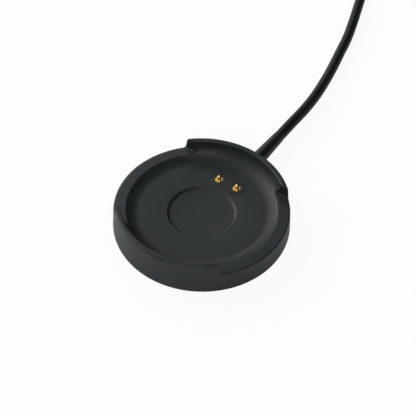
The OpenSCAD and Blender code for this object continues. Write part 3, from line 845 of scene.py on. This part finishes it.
@dataclass
class Cable:
    """The cable: out of the strain relief, along the table, round a coil of two layers, and to the plug."""

    diameter: float = 2.7
    length: float = 1000.0
    exit: tuple[float, float, float] = (0, 34, 2.6)
    lead: tuple[tuple[float, float, float], ...] = (
        (0, 26, 2.6), (0, 30, 2.6), (0, 34, 2.6), (0, 35.6, 2.6), (-0.1, 39.5, 2.45), (-0.2, 43.5, 2.15),
        (-0.45, 48, 1.85), (-0.9, 52.5, 1.6), (-1.75, 58, 1.42), (-3, 64.5, 1.35), (-4.5, 71, 1.35),
        (-6, 77.5, 1.35), (-8, 84, 1.35), (-10.2, 90.5, 1.35), (-12.6, 97.5, 1.35), (-15, 104.5, 1.35),
        (-17.2, 111.5, 1.35), (-19, 118.5, 1.35), (-20.5, 125.5, 1.35), (-21.4, 132, 1.35))
    tail: tuple[tuple[float, float, float], ...] = (
        (-21.6, 148, 3.9), (-21.6, 153.5, 3), (-21.4, 159, 1.9), (-19.9, 164.5, 1.4), (-16.2, 168.6, 1.6),
        (-10.8, 170.2, 3), (-5.4, 168.6, 5.6), (-1.8, 165.2, 7.9), (-0.2, 162, 8.8), (0, 160.5, 8.9),
        (0, 159, 8.9), (0, 156, 8.9), (0, 153, 8.9))
    coil_middle: tuple[float, float] = (0, 140)
    outer_r: float = 21.6
    turns: int = 4
    climb: float = 0.3
    tie_lift: float = 0.52

    def coil(self) -> np.ndarray:
        """Middle line of the coil.

        At t turns the angle is 180 - 360 t degrees. On the lower layer the radius falls by one diameter a
        turn. The line then climbs by a diameter while the radius stays, and winds out again on the upper
        layer. Where the tie passes under it, at +X, the line is lifted by the tie's thickness.

        Returns:
            One row for each point.
        """
        t = np.linspace(0.02, 2 * self.turns, 2 * self.turns * 48)
        inner_r = self.outer_r - self.turns * self.diameter
        out = (t - self.turns - self.climb) / (self.turns - self.climb)
        radius = np.where(t < self.turns, self.outer_r - self.diameter * t,
                          inner_r + (self.outer_r - inner_r) * np.clip(out, 0, 1))
        angle = np.radians(180 - 360 * t)
        x, y = radius * np.cos(angle), radius * np.sin(angle)
        lift = np.where(x > 0, self.tie_lift * smooth_step((5.5 - np.abs(y)) / 3.5), 0)
        z = self.diameter / 2 + self.diameter * smooth_step((t - self.turns) / self.climb) + lift
        return np.stack([self.coil_middle[0] + x, self.coil_middle[1] + y, z], axis=-1)

    def build(self) -> np.ndarray:
        """Makes the cable.

        Returns:
            The middle line, in metres.
        """
        route = np.concatenate([self.lead, self.coil(), self.tail])
        path = smooth_route(route, 0.9)
        grid, sweep = tube(path, self.diameter / 2, 20)
        self.piece = place(skin("cable_form", grid, sweep=sweep), JACKET, "cable_jacket",
                           "cable_lead", "cable_coil", "cable_tail")
        return path * MM


@dataclass
class Cradle:
    """The dock's housing: a turned bowl in a leaning wall, two strap cut-outs and a slot for the cable."""

    foot_r: float = 20.5
    wall_lean: float = 0.35
    foot_edge: float = 1.3
    lift: float = 0.3
    rim_z: float = 9.2
    rim_edge: float = 0.6
    lip_edge: float = 0.35
    sill_z: float = 6.2
    sill_edge: float = 0.3
    flat_r: float = 14.5
    dish_z: float = 5.0
    recess_r: float = 7.5
    recess_depth: float = 0.5
    floor_t: float = 1.2
    skirt_r: float = 18.85
    core_r: float = 18.0
    cover_top: float = 1.8
    strap_half: float = 14.0
    step_edge: float = 0.5
    draft: float = 0.12
    step_corner: float = 0.2
    grid_r: float = 17.0

    def wall_r(self, z: np.ndarray) -> np.ndarray:
        """Radius of the wall at a height: it leans in evenly between its two rounded edges."""
        low, high = self.lift + self.foot_edge, self.rim_z - self.rim_edge
        return self.foot_r - self.wall_lean * np.clip((z - low) / (high - low), 0, 1)

    def quarter(self) -> tuple[np.ndarray, ...]:
        """Columns of a quarter of the housing, from the middle of a cut-out to the middle of the wall.

        Returns:
            The distance from the X axis at which each column crosses the wall, the height of the wall's top
            there, the rounding of the upright corner, and the share of the way on from there to the Y axis.
        """
        bend = np.linspace(0, math.pi / 2, 7)
        rise = np.linspace(0, 1, 8)[1:-1]
        foot, crest = self.sill_z + self.step_edge, self.rim_z - self.sill_edge
        sill = np.linspace(0, self.strap_half - self.step_edge, 14, endpoint=False)
        onward = 1 - (1 - np.linspace(0, 1, 30)[1:]) ** 1.25
        y_end = self.strap_half + self.draft + self.sill_edge
        y = np.concatenate([
            sill, self.strap_half - self.step_edge * (1 - np.sin(bend)), self.strap_half + self.draft * rise,
            self.strap_half + self.draft + self.sill_edge * (1 - np.cos(bend)), np.full(29, y_end)])
        top = np.concatenate([
            np.full(14, self.sill_z), self.sill_z + self.step_edge * (1 - np.cos(bend)),
            foot + (crest - foot) * rise, crest + self.sill_edge * np.sin(bend), np.full(29, self.rim_z)])
        corner = self.step_corner * np.concatenate([
            np.zeros(14), np.sin(bend), np.ones(6), np.cos(bend), np.zeros(29)])
        return y, top, corner, np.concatenate([np.zeros(len(y) - 29), onward])

    def rings(self, top: np.ndarray) -> tuple[np.ndarray, np.ndarray, np.ndarray]:
        """Section of the housing for each height of the wall's top.

        The section runs from the middle of the hollow's roof down to the ledge, round the foot, up the wall,
        over the top and down the bowl to the middle of the recess. The inner edge's circle touches both the
        top and the bowl's circle.

        Args:
            top: Height of the wall's top, by column.

        Returns:
            Radius and height by ring and column, and each ring's share of the upright corner's rounding.
        """
        bowl_r = self.rim_z - self.dish_z
        under_r = bowl_r + self.floor_t
        ceiling = self.dish_z - self.floor_t
        roof = self.rim_z - math.sqrt(under_r**2 - (self.core_r - self.flat_r) ** 2)
        under_end = math.degrees(math.atan2(roof - self.rim_z, self.core_r - self.flat_r))
        hidden = np.concatenate([
            [(4, ceiling), (9, ceiling)], arc((self.flat_r, self.rim_z), under_r, -90, under_end, 12),
            [(self.core_r, 3.5), (self.core_r, self.cover_top), (self.skirt_r, self.cover_top),
             (self.skirt_r, self.lift)],
            arc((self.foot_r - self.foot_edge, self.lift + self.foot_edge), self.foot_edge, -90, 0, 10)])
        share = smooth_step((top - self.sill_z) / (self.rim_z - self.sill_z))
        outer_edge = self.sill_edge + (self.rim_edge - self.sill_edge) * share
        inner_edge = self.sill_edge + (self.lip_edge - self.sill_edge) * share
        up = np.linspace(0, 1, 14)[1:-1, None]
        low = self.lift + self.foot_edge
        wall_z = low + (top - outer_edge - low) * up
        bend = np.radians(np.linspace(0, 90, 9))[:, None]
        outer_mid = self.wall_r(top - outer_edge) - outer_edge
        drop = self.rim_z - top + inner_edge
        inner_mid = self.flat_r + np.sqrt((bowl_r + inner_edge) ** 2 - drop**2)
        turn = np.arctan2(drop, self.flat_r - inner_mid)
        over = np.linspace(0, 1, 8)[:, None]
        lip = math.pi / 2 + (turn - math.pi / 2) * over
        flat = np.linspace(0, 1, 5)[1:-1, None]
        knee = math.radians(-50)
        high_bowl = turn - math.pi + (knee - turn + math.pi) * np.linspace(0, 1, 11)[1:, None]
        low_bowl = np.broadcast_to(np.linspace(knee, -math.pi / 2, 12)[1:, None], (11, len(top)))
        bowl = np.concatenate([high_bowl, low_bowl])
        inner = eased([(self.flat_r, self.dish_z), (self.recess_r + self.recess_depth, self.dish_z),
                       (self.recess_r, self.dish_z - self.recess_depth), (2, self.dish_z - self.recess_depth)],
                      [0.25, 0.25])[1:]
        radius = [np.broadcast_to(hidden[:, :1], (len(hidden), len(top))), self.wall_r(wall_z),
                  outer_mid + outer_edge * np.cos(bend), outer_mid + (inner_mid - outer_mid) * flat,
                  inner_mid + inner_edge * np.cos(lip), self.flat_r + bowl_r * np.cos(bowl),
                  np.broadcast_to(inner[:, :1], (len(inner), len(top)))]
        height = [np.broadcast_to(hidden[:, 1:], (len(hidden), len(top))), wall_z,
                  top - outer_edge + outer_edge * np.sin(bend), top + 0 * flat,
                  top - inner_edge + inner_edge * np.sin(lip), self.rim_z + bowl_r * np.sin(bowl),
                  np.broadcast_to(inner[:, 1:], (len(inner), len(top)))]
        corner = np.concatenate([np.ones(len(hidden) + len(up)), 1 - np.sin(bend[:, 0]), np.zeros(len(flat)),
                                 over[:, 0] ** 2, np.ones(len(bowl) + len(inner))])
        return np.concatenate(radius), np.concatenate(height), corner[:, None]

    def grid(self) -> np.ndarray:
        """Points of the housing before its holes are cut.

        A column that crosses the wall at the distance y from the X axis lies at the angle asin(y / r), with r
        not under the grid radius, so the cut-outs' end faces are flat. Three mirrored copies of the quarter
        complete the ring.

        Returns:
            Points by ring, by column and by coordinate.
        """
        y, top, corner, onward = self.quarter()
        radius, height, share = self.rings(top)
        angle = np.arcsin((y + corner * share) / np.maximum(radius, self.grid_r))
        angle = angle + onward * (math.pi / 2 - angle)
        back = slice(-2, 0, -1)
        angle = np.concatenate([angle, math.pi - angle[:, -2::-1], math.pi + angle[:, 1:],
                                2 * math.pi - angle[:, back]], axis=1)
        radius, height = (np.concatenate([a, a[:, -2::-1], a[:, 1:], a[:, back]], axis=1)
                          for a in (radius, height))
        return np.stack([radius * np.cos(angle), radius * np.sin(angle), height], axis=-1)

    def bosses(self) -> bpy.types.Object:
        """Three posts that the base screws go into."""
        places = [(15.4 * math.cos(a), 15.4 * math.sin(a), 0) for a in np.radians([30, 150, 270])]
        profile = eased([(0.9, self.cover_top), (1.9, self.cover_top), (1.9, 4.4), (0.9, 4.4)], [0.2, 0])
        return joined([skin(f"boss_{n}", lathe(profile, 40, at=p)) for n, p in enumerate(places)])

    def cutters(self) -> bpy.types.Object:
        """What is cut out: the contact block's hole, the cable's slot and the three screw holes."""
        z = np.array([3.0, 4.86, 4.94, 5.0, 5.6])
        grow = 2 * np.array([0, 0, 0.02, 0.07, 0.7])
        hole = prism(outline(9.1 + grow, 3.7 + grow, 1.849 + grow / 2, 8, 1, 10), z, Axis.UP)
        hole[..., 1] += 10.8
        y = np.array([17.7, 20.05, 20.25, 20.38, 20.46, 21.6])
        half = np.array([1.95, 1.95, 1.99, 2.09, 2.22, 3.4])[:, None]
        bend = np.linspace(0, math.pi, 25)
        across = np.concatenate([half, half * np.cos(bend), -half], axis=1)
        up = np.concatenate([-1 + 0 * half, 2.6 + half * np.sin(bend), -1 + 0 * half], axis=1)
        slot = prism(np.stack([across, up], -1), y)
        screws = [lathe(np.array([(0.82, 1.0), (0.82, 3.7), (0.3, 4.0)]), 24,
                        at=(15.4 * math.cos(a), 15.4 * math.sin(a), 0)) for a in np.radians([30, 150, 270])]
        return joined([skin(f"cutter_{n}", g) for n, g in enumerate([hole, slot, *screws])])

    def edge_marks(self, points: np.ndarray) -> np.ndarray:
        """How near each point is to a rubbed edge that gets wear and a painted sheen: 1 on it, falling over half a
        millimetre.

        Args:
            points: Points, one row each.

        Returns:
            One number for each point.
        """
        r, z = np.hypot(points[:, 0], points[:, 1]), points[:, 2]
        cut = np.abs(points[:, 1]) < self.strap_half
        top = np.where(cut, self.sill_z, self.rim_z)
        outer = np.hypot(r - self.wall_r(top) + 0.15, z - top + 0.15)
        inner = np.hypot(r - np.where(cut, 17.4, 18.85), z - top + 0.1)
        upright = np.where(z > self.sill_z, np.abs(np.abs(points[:, 1]) - self.strap_half - 0.1), 9)
        near = np.minimum(np.minimum(outer, inner), upright + np.where(r > 20, 0.0, 0.3))
        return np.exp(-((near / 0.4) ** 2))

    def build(self) -> None:
        """Makes the housing, cuts its holes and marks its rubbed edges for wear and a painted sheen."""
        piece = skin("cradle_form", self.grid())
        piece = carved(piece, self.bosses(), "UNION")
        piece = carved(piece, self.cutters())
        mark(piece, "edge", self.edge_marks(points_of(piece)))
        place(piece, HOUSING, "housing_black", "cradle_shell")


@dataclass
class Base:
    """What closes the housing from below: the cover, its rubber pad and its screws."""

    pad_r: float = 17.6
    pad_t: float = 0.85
    pad_edge: float = 0.25

    def build(self) -> None:
        """Makes the three pieces."""
        profile = eased([(2, 0), (self.pad_r, 0), (self.pad_r, self.pad_t), (2, self.pad_t)],
                        [self.pad_edge, 0.06])
        place(skin("foot_pad_form", lathe(profile, 160)), PAD, "pad_rubber", "foot_pad")
        place(refined("base_cover", 0.1), COVER, "base_black", "base_cover")
        place(refined("base_screws", 0.06), SCREW, "screw_steel", "base_screws")


@dataclass
class Contact:
    """One sprung contact: a turned barrel, a domed pin and the spring under it."""

    side: str
    x: float
    y: float = 10.8
    pin_r: float = 0.5
    collar_r: float = 0.68
    collar_z: float = 4.27
    collar_top: float = 4.62
    tip_z: float = 6.2
    travel: float = 0.9
    spring_low: float = 2.44
    spring_high: float = 4.18
    spring_r: float = 0.58
    wire_r: float = 0.07
    coils: int = 6

    def barrel(self) -> np.ndarray:
        """Section of the barrel: outside with its ring of solder, top, neck and bore."""
        corners = [(0.3, 2.05), (0.95, 2.05), (0.95, 2.5), (1.35, 2.5), (1.35, 2.8), (0.95, 2.8), (0.95, 5.0),
                   (0.53, 5.0), (0.53, 4.65), (0.72, 4.65), (0.72, 2.35), (0.3, 2.35)]
        return eased(corners, [0.12, 0.05, 0.1, 0.02, 0.02, 0.08, 0.04, 0.04, 0.02, 0.02])

    def spring(self) -> tuple[np.ndarray, np.ndarray]:
        """Tube along a helix whose first and last turns lie almost flat."""
        t = np.linspace(0, 1, self.coils * 28 + 1)
        angle = 2 * math.pi * self.coils * t
        rise = self.spring_low + (self.spring_high - self.spring_low) * (0.6 * smooth_step(t) + 0.4 * t)
        helix = np.stack([self.spring_r * np.cos(angle), self.spring_r * np.sin(angle), rise], axis=-1)
        return tube(helix + np.array([self.x, self.y, 0]), self.wire_r, 8)

    def build(self) -> None:
        """Makes the barrel, the pin and the spring."""
        at = (self.x, self.y, 0)
        place(skin(f"{self.side}_barrel_form", lathe(self.barrel(), 48, at=at)), BRASS, "pin_brass",
              f"{self.side}_pin_barrel")
        pin = np.concatenate([
            eased([(0.2, self.collar_z), (self.collar_r, self.collar_z), (self.collar_r, self.collar_top),
                   (self.pin_r, self.collar_top), (self.pin_r, self.tip_z - 0.6)], [0.06, 0.04, 0.03]),
            arc((0, self.tip_z - self.pin_r), self.pin_r, 0, 84, 12)])
        place(skin(f"{self.side}_pin_form", lathe(pin, 48, at=at)), GOLD, "pin_gold",
              f"{self.side}_pin_plunger")
        grid, sweep = self.spring()
        spring = place(skin(f"{self.side}_spring_form", grid, sweep=sweep), SPRING, "spring_wire",
                       f"{self.side}_pin_spring")
        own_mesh(spring)


@dataclass
class Insides:
    """What the housing holds: the contact block, the board with its two chips, the magnets and the wires."""

    magnet_r: float = 3.5
    magnet_at: tuple[float, float, float] = (9.0, -3.0, 1.85)
    magnet_t: float = 1.8
    wire_r: float = 0.4
    wire: tuple[tuple[float, float, float], ...] = (
        (0.6, 16.5, 2.6), (0.6, 16.0, 2.6), (0.9, 15.175, 2.85), (1.1, 14.35, 3.1), (1.1, 13.85, 3.1))

    def build(self) -> None:
        """Makes the pieces."""
        place(refined("contact_block", 0.08), BLOCK, "block_black", "contact_block")
        place(refined("circuit_board", 0.03), BOARD, "board_green", "circuit_board")
        place(refined("fuse_chip", 0.02), FUSE, "fuse_body", "fuse_chip")
        place(refined("surge_diode", 0.03), DIODE, "diode_body", "surge_diode")
        r, t = self.magnet_r, self.magnet_t
        profile = eased([(1, 0), (r, 0), (r, t), (1, t)], [0.15, 0.15])
        for side, sign in (("left", -1), ("right", 1)):
            at = (sign * self.magnet_at[0], *self.magnet_at[1:])
            place(skin(f"{side}_magnet_form", lathe(profile, 64, at=at)), NICKEL, "magnet_plating",
                  f"{side}_magnet")
        for name, sign, finish, slot in (("power", 1, RED_WIRE, "wire_red"), ("ground", -1, BLACK_WIRE, "wire_black")):
            route = np.array(self.wire) * np.array([sign, 1, 1])
            grid, sweep = tube(smooth_route(route, 0.12), self.wire_r, 16)
            place(skin(f"{name}_wire_form", grid, sweep=sweep), finish, slot, f"{name}_wire")


@dataclass
class StrainRelief:
    """The moulded strain relief: an anchor plate, a neck through the wall and a long taper outside."""

    z: float = 2.6
    neck_r: float = 1.7
    root_r: float = 1.85
    tip_r: float = 1.475
    bore_r: float = 1.36
    neck_y: float = 17.1
    root_y: float = 20.05
    end_y: float = 34.0

    def build(self) -> bpy.types.Object:
        """Makes the strain relief.

        Returns:
            The piece.
        """
        taper = [(1.0, self.neck_y), (self.neck_r, self.neck_y), (self.neck_r, self.root_y),
                 (self.root_r, self.root_y), (self.root_r - 0.05, self.root_y + 2.6),
                 (self.tip_r, self.end_y - 2.2), (self.bore_r, self.end_y), (1.0, self.end_y)]
        profile = eased(taper, [0.05, 0.05, 0.08, 12, 12, 0.03], 6)
        piece = skin("dock_relief_form", lathe(profile, 48, Axis.BACK, (0, 0, self.z)))
        plate = outline(5.4, 2.23, 0.3, 4, 2)
        plate[..., 1] += 2.967
        piece = carved(piece, skin("anchor_plate", prism(plate, np.array([16.5, 16.6, 17.5, 17.65]))), "UNION")
        return place(piece, RELIEF, "relief_black", "dock_strain_relief")


@dataclass
class Tie:
    """Flat wire tie round the coil, its two ends twisted about each other."""

    y: float = 140.0
    low_x: float = 8.65
    high_x: float = 23.75
    top: float = 6.5
    width: float = 3.6
    thick: float = 0.5
    bend: float = 0.55
    twist_x: float = 24.15
    twist_z: float = 3.25
    twist_l: float = 9.0
    twists: float = 2.0

    def band(self) -> np.ndarray:
        """Flat section carried round the coil: along the loop's outward normal by its thickness."""
        mid = outline(self.high_x - self.low_x - self.thick, self.top - self.thick, self.bend, 24, 10, 8)[0]
        ahead = np.roll(mid, -1, axis=0) - np.roll(mid, 1, axis=0)
        ahead /= np.linalg.norm(ahead, axis=1, keepdims=True)
        outward = np.stack([ahead[:, 1], -ahead[:, 0]], axis=-1)
        section = outline(self.width, self.thick, 0.18, 6, 1, 3)[0]
        loop = mid + np.array([(self.low_x + self.high_x) / 2, self.top / 2])
        rim = loop[:, None] + outward[:, None] * section[None, :, 1:]
        return np.stack([rim[..., 0], np.broadcast_to(self.y + section[:, 0], rim.shape[:2]), rim[..., 1]], -1)

    def strand(self, start: float) -> np.ndarray:
        """One twisted end: a flat section off the axis, turned evenly as it goes along.

        Args:
            start: Angle of the section at its first row, in degrees.

        Returns:
            Points by row, by place in the section and by coordinate.
        """
        along = np.linspace(0, 1, 70)
        angle = np.radians(start) + along * 2 * math.pi * self.twists
        size = np.where(along > 0.97, 0.8, 1.0)
        section = outline(1.25, 0.42, 0.16, 4, 1, 3)[0]
        a = section[None, :, 0] * size[:, None]
        b = (section[None, :, 1] * size[:, None]) + 0.24
        cos, sin = np.cos(angle)[:, None], np.sin(angle)[:, None]
        return np.stack([self.twist_x + a * cos - b * sin,
                         np.broadcast_to((self.y + self.twist_l * along)[:, None], a.shape),
                         self.twist_z + a * sin + b * cos], axis=-1)

    def build(self) -> bpy.types.Object:
        """Makes the tie.

        Returns:
            The piece.
        """
        band = skin("coil_tie_form", self.band(), loop=True)
        ends = [skin(f"strand_{n}", self.strand(a)) for n, a in enumerate((0, 180))]
        piece = joined([band, *ends])
        shade(piece, 40)
        return place(piece, TIE, "tie_black", "coil_tie")


@dataclass
class Plug:
    """The USB plug: strain relief, grip, inner body, sheet-metal shell, tongue and contacts."""

    z: float = 8.9
    front: float = 129.0
    back: float = 151.0
    width: float = 15.5
    thick: float = 7.0
    edge: float = 1.8
    corner: float = 2.5
    lip: float = 0.35
    shell_w: float = 12.0
    shell_h: float = 4.5
    shell_t: float = 0.3
    shell_tip: float = 110.25
    shell_back: float = 135.0
    window: float = 2.3
    relief_r: float = 2.6
    relief_end_r: float = 1.7
    relief_l: float = 8.0

    def grip(self) -> bpy.types.Object:
        """Makes the grip.

        Along the axis the width follows the corner's circle and both width and thickness the end's small
        rounding. On the upper and lower side each groove is a shallow circle cut, faded out at its ends.

        Returns:
            The piece.
        """
        length = self.back - self.front
        near = np.concatenate([self.lip * (1 - np.cos(np.linspace(0, math.pi / 2, 7))),
                               np.linspace(self.lip, self.corner, 8)[1:]])
        along = np.concatenate([near, np.linspace(self.corner, length - self.corner, 90)[1:-1],
                                length - near[::-1]])
        to_end = np.minimum(along, length - along)
        reach = np.maximum(self.corner - to_end, 0)
        lip = self.lip - np.sqrt(np.maximum(self.lip**2 - np.maximum(self.lip - to_end, 0) ** 2, 0))
        width = self.width - 2 * (self.corner - np.sqrt(self.corner**2 - reach**2)) * 0.92 - 2 * lip * 0.6
        grid = prism(outline(width, self.thick - 2 * lip, np.full(len(along), self.edge), 30, 4, 7),
                     self.front + along)
        centres = self.front + length / 2 + 2.2 * (np.arange(4) - 0.5)
        depth = np.sqrt(np.maximum(9 - (grid[..., 1, None] - centres) ** 2, 0)).max(axis=-1) - 2.7
        fade = smooth_step((4.0 - np.abs(grid[..., 0])) / 0.7)
        on_flat = np.abs(grid[..., 2]) > self.thick / 2 - 0.4
        grid[..., 2] -= np.sign(grid[..., 2]) * np.maximum(depth, 0) * fade * on_flat
        grid[..., 2] += self.z
        y = np.array([self.front - 1, self.shell_back + 0.05, self.shell_back + 0.05, 143.05, 143.05, 153])
        hollow = prism(outline([12.1, 12.1, 11.1, 11.1, 3.7, 3.7], [4.6, 4.6, 4.1, 4.1, 3.7, 3.7],
                               [0.6, 0.6, 0.4, 0.4, 1.84, 1.84], 6, 3), y)
        hollow[..., 2] += self.z
        piece = carved(skin("plug_grip_form", grid), skin("plug_hollow", hollow))
        mark(piece, "edge", self.grip_marks(points_of(piece)))
        return piece

    def grip_marks(self, points: np.ndarray) -> np.ndarray:
        """How near each point is to the grip's rubbed edges, with wear and a painted sheen: 1 on the turn of a corner,
        0 on the flats.

        Args:
            points: Points, one row each.

        Returns:
            One number for each point.
        """
        low = np.abs(points[:, 2] - self.z) - (self.thick / 2 - self.edge * 0.45)
        side = np.abs(points[:, 0]) - (self.width / 2 - self.edge * 0.45)
        ends = np.abs(points[:, 1] - (self.front + self.back) / 2) - ((self.back - self.front) / 2 - 0.6)
        meet = np.minimum(np.maximum(low, -1), np.maximum(np.maximum(side, ends), -1))
        return smooth_step(1 + meet / 0.8)

    def shell(self) -> bpy.types.Object:
        """Makes the shell: an outline carried in by the sheet's thickness and back, with four windows."""
        tip, back = self.shell_tip, self.shell_back
        inset = np.array([0, 0, 0.03, 0.09, 0.16, 0.23, 0.28, 0.3, 0.3])
        y = np.array([back, tip + 0.2, tip + 0.06, tip, tip - 0.0, tip + 0.02, tip + 0.08, tip + 0.25, back])
        grid = prism(outline(self.shell_w - 2 * inset, self.shell_h - 2 * inset, 0.6 - 0.9 * inset, 12, 5), y)
        grid[..., 2] += self.z
        holes = []
        for number, x in enumerate((-2.9, 2.9)):
            hole = prism(outline(self.window, self.window, 0.25, 3, 3), np.array([self.z - 4, self.z + 4]),
                         Axis.UP)
            hole[..., 0] += x
            hole[..., 1] += tip + 5.2 + self.window / 2
            holes.append(skin(f"window_{number}", hole))
        return carved(skin("plug_shell_form", grid, loop=True), joined(holes))

    def relief(self) -> bpy.types.Object:
        """Makes the strain relief: a cone whose radius is cut to a flat inside each of its slots."""
        slots = np.array([self.back + 1.6 + 2 * i for i in range(3)])
        cuts = (slots[:, None] + np.array([-0.42, -0.35, -0.34, 0.34, 0.35, 0.42])).ravel()
        y = np.sort(np.concatenate([[146.0, 146.15, 150.9, 150.95], self.back + np.array([0, 0.25, 0.6]), cuts,
                                    self.back + self.relief_l - np.array([0.7, 0.3, 0.1, 0])]))
        end = self.back + self.relief_l
        share = np.clip((y - self.back) / self.relief_l, 0, 1)
        radius = np.where(y < 150.92, 1.8, self.relief_r + (self.relief_end_r - self.relief_r) * share)
        radius = radius - 0.25 * smooth_step((y - end + 0.4) / 0.4)
        grid = lathe(np.stack([radius, y], -1), 64, Axis.BACK)
        in_slot = (np.abs(grid[..., 1, None] - slots) < 0.345).any(axis=-1)
        limit = np.where(in_slot & (np.abs(grid[..., 0]) > 1.6), 1.6 / np.maximum(np.abs(grid[..., 0]), 1e-6), 1)
        grid[..., 0] *= limit
        grid[..., 2] += self.z
        return skin("plug_relief_form", grid)

    def build(self) -> list[bpy.types.Object]:
        """Makes the plug's pieces.

        Returns:
            The pieces.
        """
        return [
            place(self.relief(), RELIEF, "relief_black", "plug_strain_relief"),
            place(self.grip(), GRIP, "grip_black", "plug_grip"),
            place(refined("plug_core", 0.08), CORE, "core_white", "plug_core"),
            place(self.shell(), SHELL, "shell_steel", "plug_shell"),
            place(refined("plug_tongue", 0.12), TONGUE, "tongue_white", "plug_tongue"),
            place(refined("plug_contacts", 0.03), GOLD, "pin_gold", "plug_contacts")]


@dataclass
class Studio:
    """Pale floor, soft lamps, and a white surround that is shaded on the side away from the key lamp."""

    floor_half: float = 3.0
    glow: float = 0.92
    foot_shade: float = 0.0
    shade_reach: float = 15.0
    ambient: float = 0.35
    shaded: float = 0.05
    bright_side: tuple[float, float, float] = (-0.95, -0.1, 0.3)

    def floor(self) -> None:
        """Makes the floor: white to the camera and to reflections, apart from a painted contact shadow in reflections
        near the objects, and it keeps a soft part of the shadow.
        """
        s = self.floor_half
        mesh = bpy.data.meshes.new("floor")
        mesh.from_pydata([(-s, -s, -2e-5), (s, -s, -2e-5), (s, s, -2e-5), (-s, s, -2e-5)], [], [(0, 1, 2, 3)])
        floor = bpy.data.objects.new("floor", mesh)
        bpy.context.scene.collection.objects.link(floor)
        material = bpy.data.materials.new("pale_floor")
        material.use_nodes = True
        sheet = Sheet(material.node_tree)
        shader = material.node_tree.nodes["Principled BSDF"]
        shader.inputs["Base Color"].default_value = (0.9, 0.9, 0.9, 1)
        shader.inputs["Roughness"].default_value = 0.9
        shader.inputs["Specular IOR Level"].default_value = 0.0
        rays = sheet.add("ShaderNodeLightPath").outputs
        seen = sheet.sum("ADD", rays["Is Camera Ray"], sheet.sum("ADD", rays["Is Glossy Ray"],
                                                                rays["Is Transmission Ray"]), clamp=True)
        glow = sheet.add("ShaderNodeEmission", {"Color": (1, 1, 1, 1), "Strength": 1.0})
        # Ambient occlusion dims the floor's glow in reflections near the objects: a painted contact shadow.
        reach = sheet.add("ShaderNodeAmbientOcclusion", {"Distance": self.shade_reach * MM}, samples=6)
        open_sky = sheet.ramp(reach.outputs["AO"], 0.74, 1.0, self.foot_shade, 1.0)
        clear = sheet.sum("MAXIMUM", open_sky, rays["Is Camera Ray"])
        share = sheet.sum("MULTIPLY", seen, sheet.sum("MULTIPLY", clear, self.glow))
        mixed = sheet.add("ShaderNodeMixShader", {0: share, 1: shader.outputs[0], 2: glow.outputs[0]})
        sheet.tree.links.new(mixed.outputs[0], material.node_tree.nodes["Material Output"].inputs["Surface"])
        mesh.materials.append(material)

    def surround(self) -> None:
        """Makes the world: white to the camera, and to other rays brightest on the key lamp's side."""
        world = bpy.data.worlds.new("surround")
        bpy.context.scene.world = world
        world.use_nodes = True
        sheet = Sheet(world.node_tree)
        rays = sheet.add("ShaderNodeLightPath").outputs
        seen = sheet.sum("ADD", rays["Is Camera Ray"], sheet.sum("ADD", rays["Is Glossy Ray"],
                                                                rays["Is Transmission Ray"]), clamp=True)
        direction = sheet.add("ShaderNodeTexCoord").outputs["Generated"]
        side = sheet.add("ShaderNodeVectorMath", {0: direction, 1: self.bright_side}, operation="DOT_PRODUCT")
        shade = sheet.ramp(side.outputs["Value"], 0.2, 1.0, self.shaded, 1.0)
        mirrored = sheet.sum("MAXIMUM", shade, rays["Is Camera Ray"])
        strength = sheet.add("ShaderNodeMix", {0: seen, 2: self.ambient, 3: mirrored}).outputs[0]
        sheet.tree.links.new(strength, world.node_tree.nodes["Background"].inputs["Strength"])
        world.node_tree.nodes["Background"].inputs["Color"].default_value = (1, 1, 1, 1)

    def lamp(self, name: str, at: tuple[float, float, float], size: float, power: float) -> None:
        """Makes a square area lamp that faces the dock.

        Args:
            name: The lamp's name.
            at: Where it is, in metres.
            size: Its side, in metres.
            power: Its power, in watts.
        """
        data = bpy.data.lights.new(name, "AREA")
        data.size, data.energy = size, power
        lamp = bpy.data.objects.new(name, data)
        bpy.context.scene.collection.objects.link(lamp)
        lamp.location = at
        lamp.rotation_euler = (-Vector(at)).to_track_quat("-Z", "Y").to_euler()

    def build(self) -> None:
        """Makes the floor, the world and the lamps, and sets the plain view."""
        self.floor()
        self.surround()
        self.lamp("key", (-0.8, -0.05, 0.45), 0.75, 5.0)
        self.lamp("fill", (0.35, -0.65, 0.62), 0.6, 3.0)
        self.lamp("back", (-0.6, 0.57, 0.56), 0.2, 0.8)
        bpy.context.scene.view_settings.view_transform = "Standard"


def corners(box: tuple[Vector, Vector]) -> list[list[float]]:
    """Lowest and highest corner of a box as plain lists."""
    return [list(box[0]), list(box[1])]


def main() -> None:
    """Builds the camera, the cable, the dock, the plug and the studio."""
    logging.basicConfig(level=logging.INFO, format="%(message)s")
    PhotoCamera().build()
    cable = Cable()
    path = cable.build()
    Cradle().build()
    Base().build()
    Insides().build()
    for side, x in (("left", -2.5), ("right", 2.5)):
        Contact(side, x).build()
    relief = StrainRelief().build()
    tie = Tie().build()
    plug = Plug().build()
    Studio().build()


if __name__ == "__main__":
    main()
